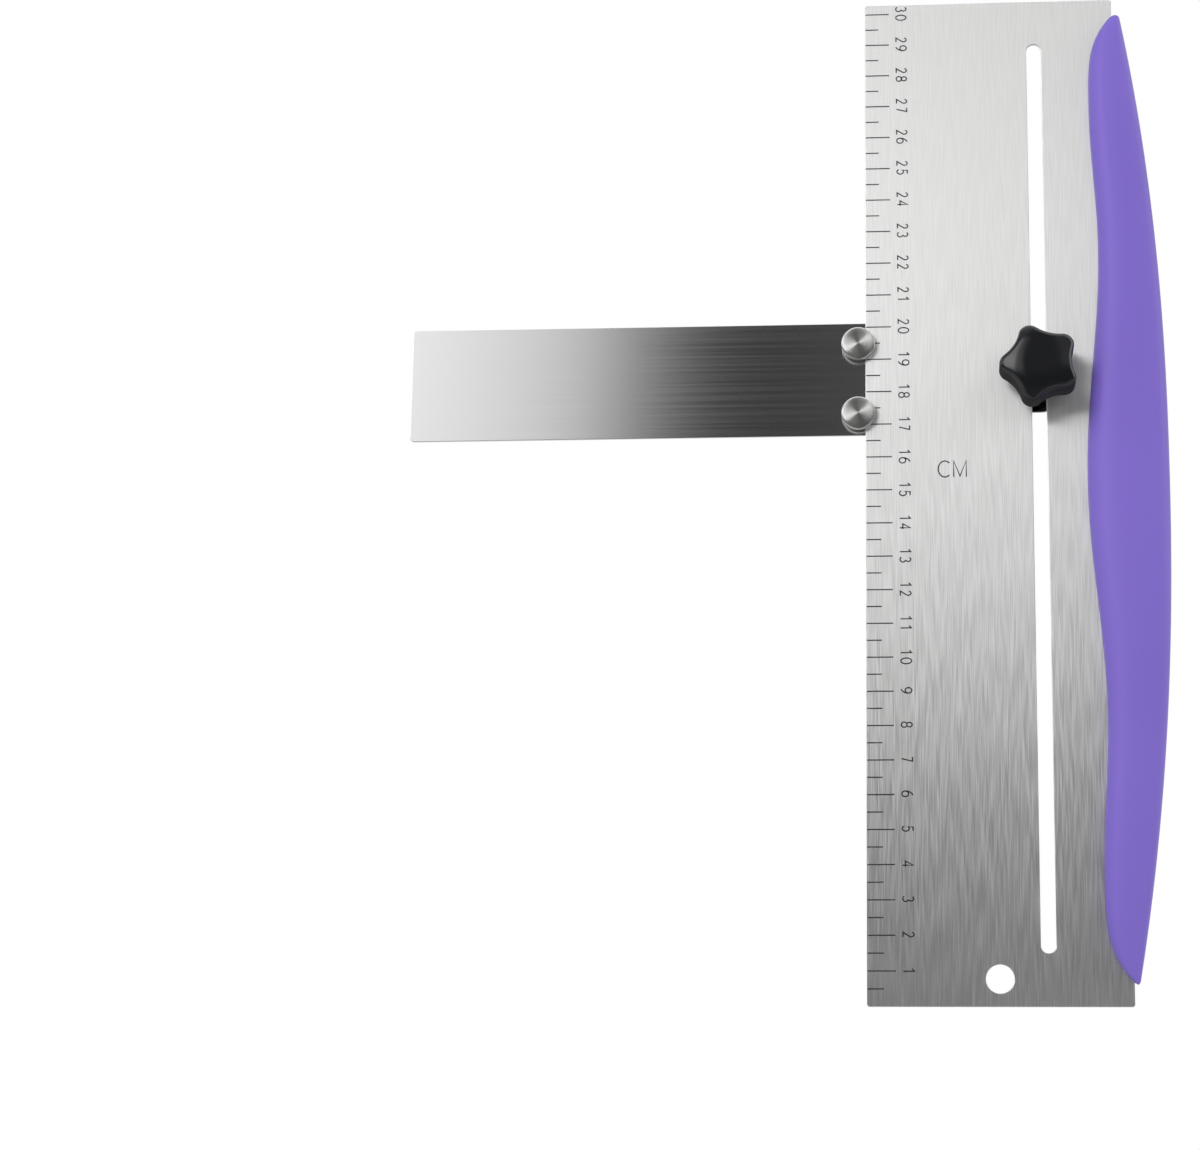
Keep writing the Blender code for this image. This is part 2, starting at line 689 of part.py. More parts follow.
def make_knob(collection, cutters, material):
    """The moulded star: rounded edges, a low dome, and a cored back with a hub and ribs."""
    back, front = -STAR_BACK, -STAR_FRONT
    rings = [star_ring(back, STAR_BACK_EDGE), star_ring(back + STAR_BACK_EDGE)]
    for angle in np.radians(np.linspace(0, 90, EDGE_STEPS + 1)):
        height = front - STAR_EDGE * (1 - math.sin(angle))
        rings.append(star_ring(height, STAR_EDGE * (1 - math.cos(angle)), dome=STAR_DOME))
    for share in np.linspace(1, 0, DOME_STEPS + 1)[1:-1]:
        rings.append(star_ring(front, STAR_EDGE, share, STAR_DOME))
    knob = lofted("clamp_knob", rings, collection, material)

    floor = back + STAR_POCKET_DEPTH
    pocket = lofted(
        "knob_pocket",
        [star_ring(back - HUB_HEIGHT / 2, STAR_WALL), star_ring(floor, STAR_WALL)],
        cutters,
    )
    hub = rod("knob_hub", HUB_DIAMETER, SLOT_X, CLAMP_HEIGHT, -floor - STAR_WALL / 2, KNOB_BACK, cutters)
    core_diameter = HUB_DIAMETER - CLEARANCE  # inside the hub, so that their walls don't coincide
    core = rod("knob_core", core_diameter, SLOT_X, CLAMP_HEIGHT, -front, 0, cutters)
    shape_with(pocket, "DIFFERENCE", as_cutter(core))
    for i in range(KNOB_LOBES):
        rib = block(
            f"knob_rib_{i}",
            (0, -front, -STAR_RIB / 2),
            (KNOB_RADIUS, 0, STAR_RIB / 2),
            cutters,
        )
        turn = KNOB_ANGLE + (2 * i + 1) * 180 / KNOB_LOBES
        rib.rotation_euler = (0, -math.radians(turn), 0)
        rib.location = (SLOT_X, 0, CLAMP_HEIGHT)
        shape_with(pocket, "DIFFERENCE", as_cutter(rib))
    shape_with(knob, "DIFFERENCE", as_cutter(pocket))
    shape_with(knob, "UNION", as_cutter(hub))

    seat = -(-KNOB_BACK + INSERT_LENGTH + CLEARANCE)
    bush_hole = rod(
        "bush_hole", INSERT_DIAMETER + 2 * CLEARANCE, SLOT_X, CLAMP_HEIGHT, seat, 0, cutters
    )
    blind_end = -(-KNOB_BACK + BOLT_ENGAGEMENT + 2 * CLEARANCE)
    shank_hole = rod("shank_hole", SHANK_HOLE, SLOT_X, CLAMP_HEIGHT, blind_end, 0, cutters)
    shape_with(knob, "DIFFERENCE", [as_cutter(bush_hole), as_cutter(shank_hole)])
    return knob


def main():
    clear_scene()
    pieces = new_collection("cake_scraper")
    cutters = new_collection("cutters")
    brushed = new_material("brushed_stainless_steel", (0.62, 0.62, 0.61), 0.32, 1)
    polished = new_material("polished_stainless_steel", (0.66, 0.66, 0.66), 0.12, 1)
    plated = new_material("zinc_plated_steel", (0.58, 0.59, 0.60), 0.3, 1)
    brass = new_material("turned_brass", (0.72, 0.50, 0.20), 0.3, 1)
    purple = new_material("satin_purple_plastic", (0.22, 0.15, 0.55), 0.4)
    black = new_material("gloss_black_plastic", (0.012, 0.012, 0.014), 0.18)

    make_plate(pieces, brushed)
    make_handle_half("handle_front_half", -1, pieces, cutters, purple)
    make_handle_half("handle_rear_half", 1, pieces, cutters, purple)
    make_blade(pieces, polished)
    for place, z in stud_heights().items():
        make_stud(f"guide_stud_{place}", z, pieces, polished)
        make_stud_screw(f"stud_screw_{place}", z, pieces, plated)
    make_clamp_bolt(pieces, cutters, plated)
    make_washer(pieces, plated)
    make_insert(pieces, brass)
    make_knob(pieces, cutters, black)


main()
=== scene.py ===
"""Cake scraper: brushed steel ruler plate, moulded handle, polished levelling blade and star-knob clamp.

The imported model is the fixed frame. Each class below dresses one sub-assembly with finer meshes in the same
places, in metres: +Z runs up the centimetre scale, the scale and the knob face -Y, and the handle is at +X.
"""

import logging
import math
from collections.abc import Sequence
from dataclasses import dataclass, field
from enum import Enum

import bmesh
import bpy
import numpy as np
from mathutils import Matrix, Vector
from mathutils.geometry import tessellate_polygon


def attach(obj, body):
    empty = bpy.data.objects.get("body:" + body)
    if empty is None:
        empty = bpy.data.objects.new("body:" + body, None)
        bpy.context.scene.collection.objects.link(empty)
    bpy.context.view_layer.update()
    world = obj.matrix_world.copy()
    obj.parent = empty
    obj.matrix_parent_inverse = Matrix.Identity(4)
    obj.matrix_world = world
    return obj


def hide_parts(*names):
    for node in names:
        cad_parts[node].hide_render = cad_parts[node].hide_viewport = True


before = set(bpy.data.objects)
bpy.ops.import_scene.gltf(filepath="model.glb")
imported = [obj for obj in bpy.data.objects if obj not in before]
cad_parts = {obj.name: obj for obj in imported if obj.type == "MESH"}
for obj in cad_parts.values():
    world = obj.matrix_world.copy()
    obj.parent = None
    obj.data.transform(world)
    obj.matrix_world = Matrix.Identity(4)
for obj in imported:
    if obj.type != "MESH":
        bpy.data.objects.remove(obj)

MM = 0.001
CENTIMETRE = 10 * MM
CLEARANCE = 0.3 * MM  # between pieces that only bear on each other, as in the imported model
TURN = 2 * math.pi
ROUND_STEPS = 96  # columns round a turned piece
CREASE = 40.0  # edges that turn by more degrees than this are shaded as sharp
CORNER_ROOM = 2.2  # a rounding takes at most 1 / 2.2 of each side of its corner
MITRE_LEAST = 0.45  # keeps the sharp corners of a stroke from running out in spikes
NOISE_SPREAD = 0.2  # most values of a noise lie within this of 0.5
NOISE_TURN = (0.0, 0.6, 0.0)  # radians by which a noise is turned, so that its grid's rows don't show
GRAIN_UV = "grain"

log = logging.getLogger("cake_scraper")


class Body(Enum):
    """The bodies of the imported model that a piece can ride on."""

    SCRAPER = "scraper_body"
    BLADE = "blade_carriage"
    WASHER = "washer_slider"
    KNOB = "knob"


class Ends(Enum):
    """How a surface of rings is closed: each end drawn to one point, or the last ring joined to the first."""

    POLES = "poles"
    LOOP = "loop"


class Face(Enum):
    """The side of the plate that a piece lies on, as the sign of Y."""

    FRONT = -1
    REAR = 1


def linear(hex_code: str) -> tuple[float, float, float, float]:
    """Turns an sRGB colour into the linear values that a shader takes.

    Args:
        hex_code: six hex digits, such as "8A70CC".

    Returns:
        Red, green, blue and an alpha of 1.
    """
    srgb = np.frombuffer(bytes.fromhex(hex_code), np.uint8) / 255
    values = np.where(srgb <= 0.04045, srgb / 12.92, ((srgb + 0.055) / 1.055) ** 2.4)
    return (*values.tolist(), 1.0)


def add_node(
    tree: bpy.types.NodeTree, kind: str, links: dict[str | int, object] | None = None, **settings: object
) -> bpy.types.Node:
    """Adds a node with its settings and links.

    Args:
        tree: the node tree.
        kind: the node's type without its ShaderNode prefix.
        links: input name or index to an output socket, or to a plain value.
        settings: attributes of the node itself.

    Returns:
        The new node.
    """
    node = tree.nodes.new("ShaderNode" + kind)
    for name, value in settings.items():
        setattr(node, name, value)
    for key, value in (links or {}).items():
        if isinstance(value, bpy.types.NodeSocket):
            tree.links.new(value, node.inputs[key])
        else:
            node.inputs[key].default_value = value
    return node


def unit(angle: np.ndarray | float) -> np.ndarray:
    """Points of the unit circle at these angles in radians, as complex numbers x + iz."""
    return np.exp(1j * np.asarray(angle))


def arc(centre: complex, radius: float, start: float, end: float, steps: int) -> np.ndarray:
    """Points along an arc: centre + radius at evenly spaced angles.

    Args:
        centre: the arc's centre as x + iz.
        radius: its radius.
        start: the first angle in degrees.
        end: the last angle in degrees.
        steps: how many pieces the arc is cut into.

    Returns:
        steps + 1 complex points.
    """
    return centre + radius * unit(np.radians(np.linspace(start, end, steps + 1)))


def link_object(name: str, mesh: bpy.types.Mesh) -> bpy.types.Object:
    """Puts a mesh into the scene as an object at the origin.

    Args:
        name: the object's name.
        mesh: its mesh, in place already.

    Returns:
        The object.
    """
    obj = bpy.data.objects.new(name, mesh)
    bpy.context.scene.collection.objects.link(obj)
    return obj


def ring_grain(rows: int, columns: int, ends: Ends) -> np.ndarray:
    """The UV map of ring_surface: at each face corner U is the row's share of the rows, and V the column's.

    Args:
        rows: how many rings there are, with the poles.
        columns: how many points each ring has.
        ends: how the rows are closed.

    Returns:
        (U, V) of each face corner, in the order of the faces.
    """
    level = np.linspace(0, 1, rows + 1)
    share = np.arange(columns + 1) / columns
    step = level[1]
    band = level[:-1] if ends is Ends.LOOP else level[1:-3]
    u = np.stack([band, band + step, band + step, band], 1)[:, None].repeat(columns, 1)
    v = np.stack([share[:-1], share[:-1], share[1:], share[1:]], 1)[None].repeat(len(band), 0)
    grain = np.stack([u, v], 3).reshape(-1, 2)
    if ends is Ends.LOOP:
        return grain
    middle = (share[:-1] + share[1:]) / 2
    zero = np.zeros(columns)
    top = np.stack([zero, middle, zero + step, share[:-1], zero + step, share[1:]], 1)
    bottom = np.stack([zero + 1, middle, zero + 1 - step, share[1:], zero + 1 - step, share[:-1]], 1)
    return np.vstack([top.reshape(-1, 2), grain, bottom.reshape(-1, 2)])


def ring_surface(name: str, points: np.ndarray, ends: Ends, crease: float = CREASE) -> bpy.types.Object:
    """A closed surface through rings of points, each ring joined round and each joined to the next.

    Args:
        name: the object's name.
        points: rows by columns by 3. With Ends.POLES the first and last row are each one repeated point.
        ends: how the rows are closed.
        crease: edges that turn by more than this many degrees are shaded as sharp.

    Returns:
        The object, with a UV map whose U runs across the rings and V round them.
    """
    rows, columns = points.shape[:2]
    here = np.arange(columns)
    following = np.roll(here, -1)
    if ends is Ends.LOOP:
        vertices = points.reshape(-1, 3)
        first = np.arange(rows)[:, None] * columns
        last = np.roll(first, -1, axis=0)
        top = bottom = np.zeros((0, 3), int)
    else:
        vertices = np.vstack([points[:1, 0], points[1:-1].reshape(-1, 3), points[-1:, 0]])
        tail = 1 + (rows - 3) * columns
        first = 1 + np.arange(rows - 3)[:, None] * columns
        last = first + columns
        top = np.stack([np.zeros(columns, int), 1 + here, 1 + following], 1)
        bottom = np.stack([np.full(columns, len(vertices) - 1), tail + following, tail + here], 1)
    quads = np.stack([first + here, last + here, last + following, first + following], 2).reshape(-1, 4)
    mesh = bpy.data.meshes.new(name)
    mesh.from_pydata(vertices.tolist(), [], [*top.tolist(), *quads.tolist(), *bottom.tolist()])
    layer = mesh.uv_layers.new(name=GRAIN_UV)
    layer.data.foreach_set("uv", ring_grain(rows, columns, ends).astype(np.float32).ravel())
    face_outwards(mesh)
    mesh.shade_smooth()
    mesh.set_sharp_from_angle(angle=math.radians(crease))
    return link_object(name, mesh)


def face_outwards(mesh: bpy.types.Mesh) -> None:
    """Turns the faces of a closed mesh outwards.

    Args:
        mesh: the mesh.
    """
    edit = bmesh.new()
    edit.from_mesh(mesh)
    bmesh.ops.recalc_face_normals(edit, faces=edit.faces)
    edit.to_mesh(mesh)
    edit.free()


def turned_piece(
    name: str,
    centre: complex,
    profile: Sequence[tuple[float, float]],
    ends: Ends,
    crease: float = CREASE,
) -> bpy.types.Object:
    """A piece turned on an axis along Y: (x, z) = centre + radius * (cos t, sin t), and y = -front.

    Args:
        name: the object's name.
        centre: the axis as x + iz.
        profile: (radius, distance in front of Y = 0) of each ring.
        ends: whether the profile starts and ends on the axis, or closes on itself.
        crease: as in ring_surface.

    Returns:
        The object.
    """
    rings = np.array(profile)
    angle = np.linspace(0, TURN, ROUND_STEPS, endpoint=False)
    flat = centre + rings[:, :1] * unit(angle)
    front = np.repeat(rings[:, 1:], ROUND_STEPS, 1)
    return ring_surface(name, np.stack([flat.real, -front, flat.imag], 2), ends, crease)


def rounded_sheet(
    name: str, outlines: Sequence[np.ndarray], front: float, back: float, edge: float, steps: int = 3
) -> bpy.types.Object:
    """Sheet metal with its cut edges broken: a profile with two rounded corners, carried along each outline.

    At each outline point the profile moves inwards by edge * (1 - cos a) and from the face by
    edge * (1 - sin a). The flat faces between the outlines are filled with triangles.

    Args:
        name: the object's name.
        outlines: complex x + iz points: first the rim, counter-clockwise, then the holes, clockwise.
        front: y of the front face.
        back: y of the back face.
        edge: radius of the broken edge.
        steps: how many strips the broken edge has.

    Returns:
        The object, with a UV map whose U runs along X and V along Z, in metres.
    """
    bend = np.linspace(0, math.pi / 2, steps + 1)
    inward = np.concatenate([edge * (1 - np.sin(bend)), edge * (1 - np.cos(bend))])
    depth = np.concatenate([front + edge * (1 - np.cos(bend)), back - edge * (1 - np.sin(bend))])
    rows = len(inward)
    vertices, faces, rims, start = [], [], {0: [], rows - 1: []}, 0
    for outline in outlines:
        count = len(outline)
        ahead, behind = np.roll(outline, -1) - outline, outline - np.roll(outline, 1)
        side = ahead / np.abs(ahead) + behind / np.abs(behind)
        normal = 1j * side / np.abs(side)
        lines = outline[None] + inward[:, None] * normal[None]
        points = np.stack([lines.real, np.repeat(depth[:, None], count, 1), lines.imag], 2)
        vertices.append(points.reshape(-1, 3))
        here = np.arange(count)
        following = np.roll(here, -1)
        first = start + np.arange(rows - 1)[:, None] * count
        second = first + count
        strip = np.stack([first + here, first + following, second + following, second + here], 2)
        faces += strip.reshape(-1, 4).tolist()
        for row, rim in rims.items():
            rim.append(start + row * count + here)
        start += rows * count
    vertices = np.vstack(vertices)
    rounding = len(faces)
    for rim in rims.values():
        order = np.concatenate(rim)
        flat = [(vertices[loop] * [1, 0, 1])[:, [0, 2, 1]].tolist() for loop in rim]
        faces += order[np.array(tessellate_polygon(flat))].tolist()
    mesh = bpy.data.meshes.new(name)
    mesh.from_pydata(vertices.tolist(), [], faces)
    face_outwards(mesh)
    mesh.polygons.foreach_set("use_smooth", np.arange(len(faces)) < rounding)
    corners = np.empty(len(mesh.loops), np.int32)
    mesh.loops.foreach_get("vertex_index", corners)
    layer = mesh.uv_layers.new(name=GRAIN_UV)
    layer.data.foreach_set("uv", vertices[corners][:, [0, 2]].astype(np.float32).ravel())
    return link_object(name, mesh)


def dress(obj: bpy.types.Object, material: bpy.types.Material, body: Body, slot: str, *nodes: str) -> None:
    """Gives a finished piece its material and its body, and hides the CAD nodes that it stands for.

    Args:
        obj: the piece.
        material: its finish.
        body: the body that it moves with.
        slot: not used.
        nodes: the CAD nodes that it replaces.
    """
    obj.data.materials.clear()
    obj.data.materials.append(material)
    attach(obj, body.value)
    if nodes:
        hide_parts(*nodes)
    log.info("%s: %d faces on %s", obj.name, len(obj.data.polygons), body.value)


def new_material(name: str) -> tuple[bpy.types.Material, bpy.types.NodeTree, bpy.types.Node]:
    """A material to build on.

    Args:
        name: its name.

    Returns:
        The material, its node tree and its Principled shader.
    """
    material = bpy.data.materials.new(name)
    material.use_nodes = True
    tree = material.node_tree
    return material, tree, tree.nodes["Principled BSDF"]


def streaks(
    tree: bpy.types.NodeTree, across: float, along: float, detail: float = 2.0, axis: int = 2
) -> bpy.types.NodeSocket:
    """Noise drawn out along one axis, as brushing leaves it.

    The drawn-out space is turned about Y, because the rows of the noise's grid would show as bands.

    Args:
        tree: the material's node tree.
        across: width of a streak in metres.
        along: length of a streak in metres.
        detail: octaves of finer streaks.
        axis: the axis that the streaks run along.

    Returns:
        The noise's output, about 0.5 on average.
    """
    coordinates = add_node(tree, "TexCoord")
    scale = [1 / across] * 3
    scale[axis] = 1 / along
    mapping = add_node(
        tree, "Mapping", {"Vector": coordinates.outputs["Object"], "Scale": scale, "Rotation": NOISE_TURN}
    )
    noise = add_node(tree, "TexNoise", {"Vector": mapping.outputs["Vector"], "Scale": 1.0, "Detail": detail})
    return noise.outputs["Fac"]


def remap(
    tree: bpy.types.NodeTree,
    value: bpy.types.NodeSocket,
    start: float,
    end: float,
    low: float | bpy.types.NodeSocket,
    high: float | bpy.types.NodeSocket,
) -> bpy.types.NodeSocket:
    """Maps a value from one range to another, with level ends and a smooth step between.

    Args:
        tree: the node tree.
        value: the value to map.
        start: the value at which the change starts.
        end: the value at which it ends.
        low: the result up to start.
        high: the result from end on.

    Returns:
        The result's output.
    """
    node = add_node(
        tree,
        "MapRange",
        {"Value": value, "From Min": start, "From Max": end, "To Min": low, "To Max": high},
        interpolation_type="SMOOTHSTEP",
    )
    return node.outputs["Result"]


def swing(
    tree: bpy.types.NodeTree,
    noise: bpy.types.NodeSocket,
    low: float,
    high: float,
    spread: float = NOISE_SPREAD,
) -> bpy.types.NodeSocket:
    """Maps noise, which lies about 0.5, to a range of the finish.

    Args:
        tree: the material's node tree.
        noise: the noise's output.
        low: the result where the noise is 0.5 - spread or less.
        high: the result where it is 0.5 + spread or more.
        spread: how far from 0.5 the noise still makes a difference.

    Returns:
        The result's output.
    """
    return remap(tree, noise, 0.5 - spread, 0.5 + spread, low, high)


def blend_colours(
    tree: bpy.types.NodeTree, shader: bpy.types.Node, share: bpy.types.NodeSocket, dark: str, light: str
) -> None:
    """Sets a shader's base colour to a blend of two.

    Args:
        tree: the material's node tree.
        shader: its Principled shader.
        share: 0 for the dark colour alone, 1 for the light one alone.
        dark: the dark colour's hex code.
        light: the light colour's hex code.
    """
    colour = add_node(tree, "MixRGB", {"Fac": share, "Color1": linear(dark), "Color2": linear(light)})
    tree.links.new(colour.outputs["Color"], shader.inputs["Base Color"])


def vary_roughness(
    tree: bpy.types.NodeTree,
    shader: bpy.types.Node,
    noise: bpy.types.NodeSocket,
    middle: float,
    change: float,
) -> None:
    """Sets a shader's roughness to its middle value, up or down by a change where the noise is high or low.

    Args:
        tree: the material's node tree.
        shader: its Principled shader.
        noise: the noise's output.
        middle: the middle roughness.
        change: the greatest change.
    """
    tree.links.new(swing(tree, noise, middle - change, middle + change), shader.inputs["Roughness"])


@dataclass(frozen=True)
class BrushedStainless:
    """Stainless sheet with a vertical No. 4 brushed finish: grooves along Z spread highlights sideways.

    Real grooves are about 0.05 mm apart, too fine to show, so they are drawn 0.25 mm wide. Each one leans the
    surface sideways by up to side_tilt and up or down by up to rise_tilt, both as slopes, and that draws the
    light and dark lines.
    """

    name: str = "stainless_steel_brushed"
    light: str = "F3F3F2"
    dark: str = "E7E7E6"
    roughness: float = 0.3
    roughness_change: float = 0.005
    metallic: float = 0.81
    anisotropy: float = 1.0
    groove_width: float = 0.25 * MM
    groove_length: float = 13 * MM
    groove_depth: float = 0.02 * MM
    groove_strength: float = 0.08
    side_tilt: float = 0.01
    rise_tilt: float = 0.02
    colour_spread: float = 0.25
    tilt_spread: float = 0.3

    def material(self) -> bpy.types.Material:
        """Builds the shader.

        Returns:
            The material.
        """
        material, tree, shader = new_material(self.name)
        fine = streaks(tree, self.groove_width, self.groove_length, 0.0)
        blend_colours(tree, shader, swing(tree, fine, 0.0, 1.0, self.colour_spread), self.dark, self.light)
        vary_roughness(tree, shader, fine, self.roughness, self.roughness_change)
        sideways = swing(tree, fine, -self.side_tilt, self.side_tilt, self.tilt_spread)
        upwards = swing(tree, fine, -self.rise_tilt, self.rise_tilt, self.tilt_spread)
        slope = add_node(tree, "CombineXYZ", {"X": sideways, "Z": upwards})
        facing = add_node(tree, "NewGeometry").outputs["Normal"]
        lean = add_node(tree, "VectorMath", {0: facing, 1: slope.outputs[0]}, operation="ADD")
        bump = add_node(tree, "Bump", {
            "Height": fine,
            "Strength": self.groove_strength,
            "Distance": self.groove_depth,
            "Normal": lean.outputs[0],
        })
        tree.links.new(bump.outputs["Normal"], shader.inputs["Normal"])
        tangent = add_node(tree, "Tangent", direction_type="UV_MAP", uv_map=GRAIN_UV)
        tree.links.new(tangent.outputs["Tangent"], shader.inputs["Tangent"])
        shader.inputs["Metallic"].default_value = self.metallic
        shader.inputs["Anisotropic"].default_value = self.anisotropy
        return material


@dataclass(frozen=True)
class PolishedStainless:
    """Stainless strip, roller polished: a soft mirror with faint lengthwise rolling lines."""

    name: str = "stainless_steel_polished"
    colour: str = "ECECEC"
    roughness: float = 0.11
    roughness_change: float = 0.01
    line_width: float = 0.6 * MM
    line_length: float = 90 * MM

    def material(self) -> bpy.types.Material:
        """Builds the shader.

        Returns:
            The material.
        """
        material, tree, shader = new_material(self.name)
        lines = streaks(tree, self.line_width, self.line_length, 2.0, 0)
        vary_roughness(tree, shader, lines, self.roughness, self.roughness_change)
        shader.inputs["Base Color"].default_value = linear(self.colour)
        shader.inputs["Metallic"].default_value = 1.0
        return material


@dataclass(frozen=True)
class TurnedStainless:
    """Stainless bar faced on a lathe: fine rings round the axis, so highlights fan out from the centre.

    The skew turns the rings a little into a spiral, as the tool's feed does, which turns the fan with them.
    """

    name: str = "stainless_steel_turned"
    colour: str = "E8E8E6"
    roughness: float = 0.3
    anisotropy: float = 1.0
    skew: float = 0.43

    def material(self) -> bpy.types.Material:
        """Builds the shader.

        Returns:
            The material.
        """
        material, tree, shader = new_material(self.name)
        tangent = add_node(tree, "Tangent", direction_type="UV_MAP", uv_map=GRAIN_UV)
        tree.links.new(tangent.outputs["Tangent"], shader.inputs["Tangent"])
        shader.inputs["Base Color"].default_value = linear(self.colour)
        shader.inputs["Roughness"].default_value = self.roughness
        shader.inputs["Metallic"].default_value = 1.0
        shader.inputs["Anisotropic"].default_value = self.anisotropy
        shader.inputs["Anisotropic Rotation"].default_value = self.skew
        return material


@dataclass(frozen=True)
class PlatedSteel:
    """Steel fasteners with bright zinc plating, barrel finished: a slightly mottled grey."""

    name: str = "steel_zinc_plated"
    light: str = "D2D4D6"
    dark: str = "BDBFC2"
    roughness: float = 0.28
    roughness_change: float = 0.05
    mottle: float = 1.2 * MM
    mottle_spread: float = 0.15

    def material(self) -> bpy.types.Material:
        """Builds the shader.

        Returns:
            The material.
        """
        material, tree, shader = new_material(self.name)
        patches = streaks(tree, self.mottle, self.mottle, 3.0)
        blend_colours(tree, shader, swing(tree, patches, 0.0, 1.0, self.mottle_spread), self.dark, self.light)
        vary_roughness(tree, shader, patches, self.roughness, self.roughness_change)
        shader.inputs["Metallic"].default_value = 1.0
        return material


@dataclass(frozen=True)
class TurnedBrass:
    """Free-machining brass, turned: warm yellow with a fine lathe finish."""

    name: str = "brass_turned"
    colour: str = "D9B56A"
    roughness: float = 0.28

    def material(self) -> bpy.types.Material:
        """Builds the shader.

        Returns:
            The material.
        """
        material, _, shader = new_material(self.name)
        shader.inputs["Base Color"].default_value = linear(self.colour)
        shader.inputs["Roughness"].default_value = self.roughness
        shader.inputs["Metallic"].default_value = 1.0
        return material


@dataclass(frozen=True)
class MouldedPlastic:
    """Moulded plastic. A faint mould texture and slow colour drift keep large faces from looking flat.

    Where side_roughness is given, the piece is matt up to gloss_from in front of Y = 0 and has its full gloss
    from gloss_blend further on, as a mould leaves it that is polished at the front only.
    """

    name: str
    colour: str
    shade: str
    roughness: float
    ior: float
    grain: float
    grain_depth: float
    grain_strength: float = 0.25
    drift: float = 1 / 18
    side_roughness: float | None = None
    gloss_from: float = 0.0
    gloss_blend: float = 1.0 * MM

    def material(self) -> bpy.types.Material:
        """Builds the shader.

        Returns:
            The material.
        """
        material, tree, shader = new_material(self.name)
        place = add_node(tree, "TexCoord").outputs["Object"]
        drift = add_node(tree, "TexNoise", {"Vector": place, "Scale": 1 / self.drift, "Detail": 1.0})
        blend_colours(tree, shader, swing(tree, drift.outputs["Fac"], 0.0, 1.0), self.shade, self.colour)
        grain = add_node(tree, "TexNoise", {"Vector": place, "Scale": 1 / self.grain, "Detail": 2.0})
        bump = add_node(tree, "Bump", {
            "Height": grain.outputs["Fac"],
            "Strength": self.grain_strength,
            "Distance": self.grain_depth,
        })
        tree.links.new(bump.outputs["Normal"], shader.inputs["Normal"])
        shader.inputs["Roughness"].default_value = self.roughness
        shader.inputs["IOR"].default_value = self.ior
        if self.side_roughness:
            depth = add_node(tree, "SeparateXYZ", {0: place}).outputs["Y"]
            glossy, matt = -self.gloss_from - self.gloss_blend, -self.gloss_from
            rough = remap(tree, depth, glossy, matt, self.roughness, self.side_roughness)
            tree.links.new(rough, shader.inputs["Roughness"])
        return material


def polypropylene() -> MouldedPlastic:
    """The handle's plastic: polypropylene off a fine-grained mould, an even violet with a broad, soft sheen.

    Returns:
        The finish.
    """
    return MouldedPlastic(
        name="polypropylene_moulded_satin",
        colour="7F69CC",
        shade="7C66C9",
        roughness=0.42,
        ior=1.49,
        grain=0.5 * MM,
        grain_depth=0.004 * MM,
    )


def phenolic() -> MouldedPlastic:
    """The knob's plastic: black phenolic resin, with a clear highlight on its polished front and matt sides.

    Returns:
        The finish.
    """
    return MouldedPlastic(
        name="phenolic_moulded_gloss",
        colour="1A1B1D",
        shade="18191B",
        roughness=0.13,
        ior=1.56,
        grain=3 * MM,
        grain_depth=0.002 * MM,
        side_roughness=0.85,
        gloss_from=13.4 * MM,
    )


@dataclass(frozen=True)
class EtchedMark:
    """Electro-etched lines in stainless steel: dark oxide, matt against the brushed face."""

    name: str = "stainless_steel_etched"
    colour: str = "2C2C2E"
    roughness: float = 0.6

    def material(self) -> bpy.types.Material:
        """Builds the shader.

        Returns:
            The material.
        """
        material, _, shader = new_material(self.name)
        shader.inputs["Base Color"].default_value = linear(self.colour)
        shader.inputs["Roughness"].default_value = self.roughness
        return material


@dataclass
class RulerPlate:
    """The slotted ruler plate: 1 mm stainless sheet with broken edges."""

    width: float = 75 * MM
    height: float = 303 * MM
    thickness: float = 1.0 * MM
    corner: float = 0.8 * MM
    slot_x: float = 13.7 * MM
    slot_width: float = 4.3 * MM
    slot_bottom: float = 15 * MM
    slot_top: float = 14 * MM
    hole: float = 8 * MM
    hole_height: float = 7.8 * MM
    edge: float = 0.2 * MM
    corner_steps: int = 8
    slot_steps: int = 32
    hole_steps: int = 72

    @property
    def left(self) -> float:
        """x of the edge that carries the scale."""
        return -self.width / 2

    @property
    def right(self) -> float:
        """x of the edge inside the handle."""
        return self.width / 2

    def rim(self) -> np.ndarray:
        """The outer edge, counter-clockwise from the lower left: a small quarter arc round each corner.

        Returns:
            Complex points x + iz.
        """
        r, low, high = self.corner, self.corner, self.height - self.corner
        centres = [complex(self.left + r, low), complex(self.right - r, low)]
        centres += [complex(self.right - r, high), complex(self.left + r, high)]
        return np.concatenate([
            arc(centre, r, start, start + 90, self.corner_steps)
            for centre, start in zip(centres, (180, 270, 0, 90))
        ])

    def holes(self) -> list[np.ndarray]:
        """The slot, as two half circles, and the hanging hole.

        Returns:
            The complex points of each, clockwise.
        """
        r = self.slot_width / 2
        slot = np.concatenate([
            arc(complex(self.slot_x, self.slot_bottom + r), r, 360, 180, self.slot_steps),
            arc(complex(self.slot_x, self.height - self.slot_top - r), r, 180, 0, self.slot_steps),
        ])
        round_hole = arc(complex(0, self.hole_height), self.hole / 2, 360, 0, self.hole_steps)[:-1]
        return [slot, round_hole]

    def build(self, finish: BrushedStainless) -> None:
        """Makes the plate in place of its CAD node.

        Args:
            finish: the plate's finish.
        """
        half = self.thickness / 2
        plate = rounded_sheet("ruler_plate", [self.rim(), *self.holes()], -half, half, self.edge)
        dress(plate, finish.material(), Body.SCRAPER, "brushed_plate", "scraper_plate")


def line(*points: complex) -> np.ndarray:
    """A stroke of straight pieces through these points."""
    return np.array(points)


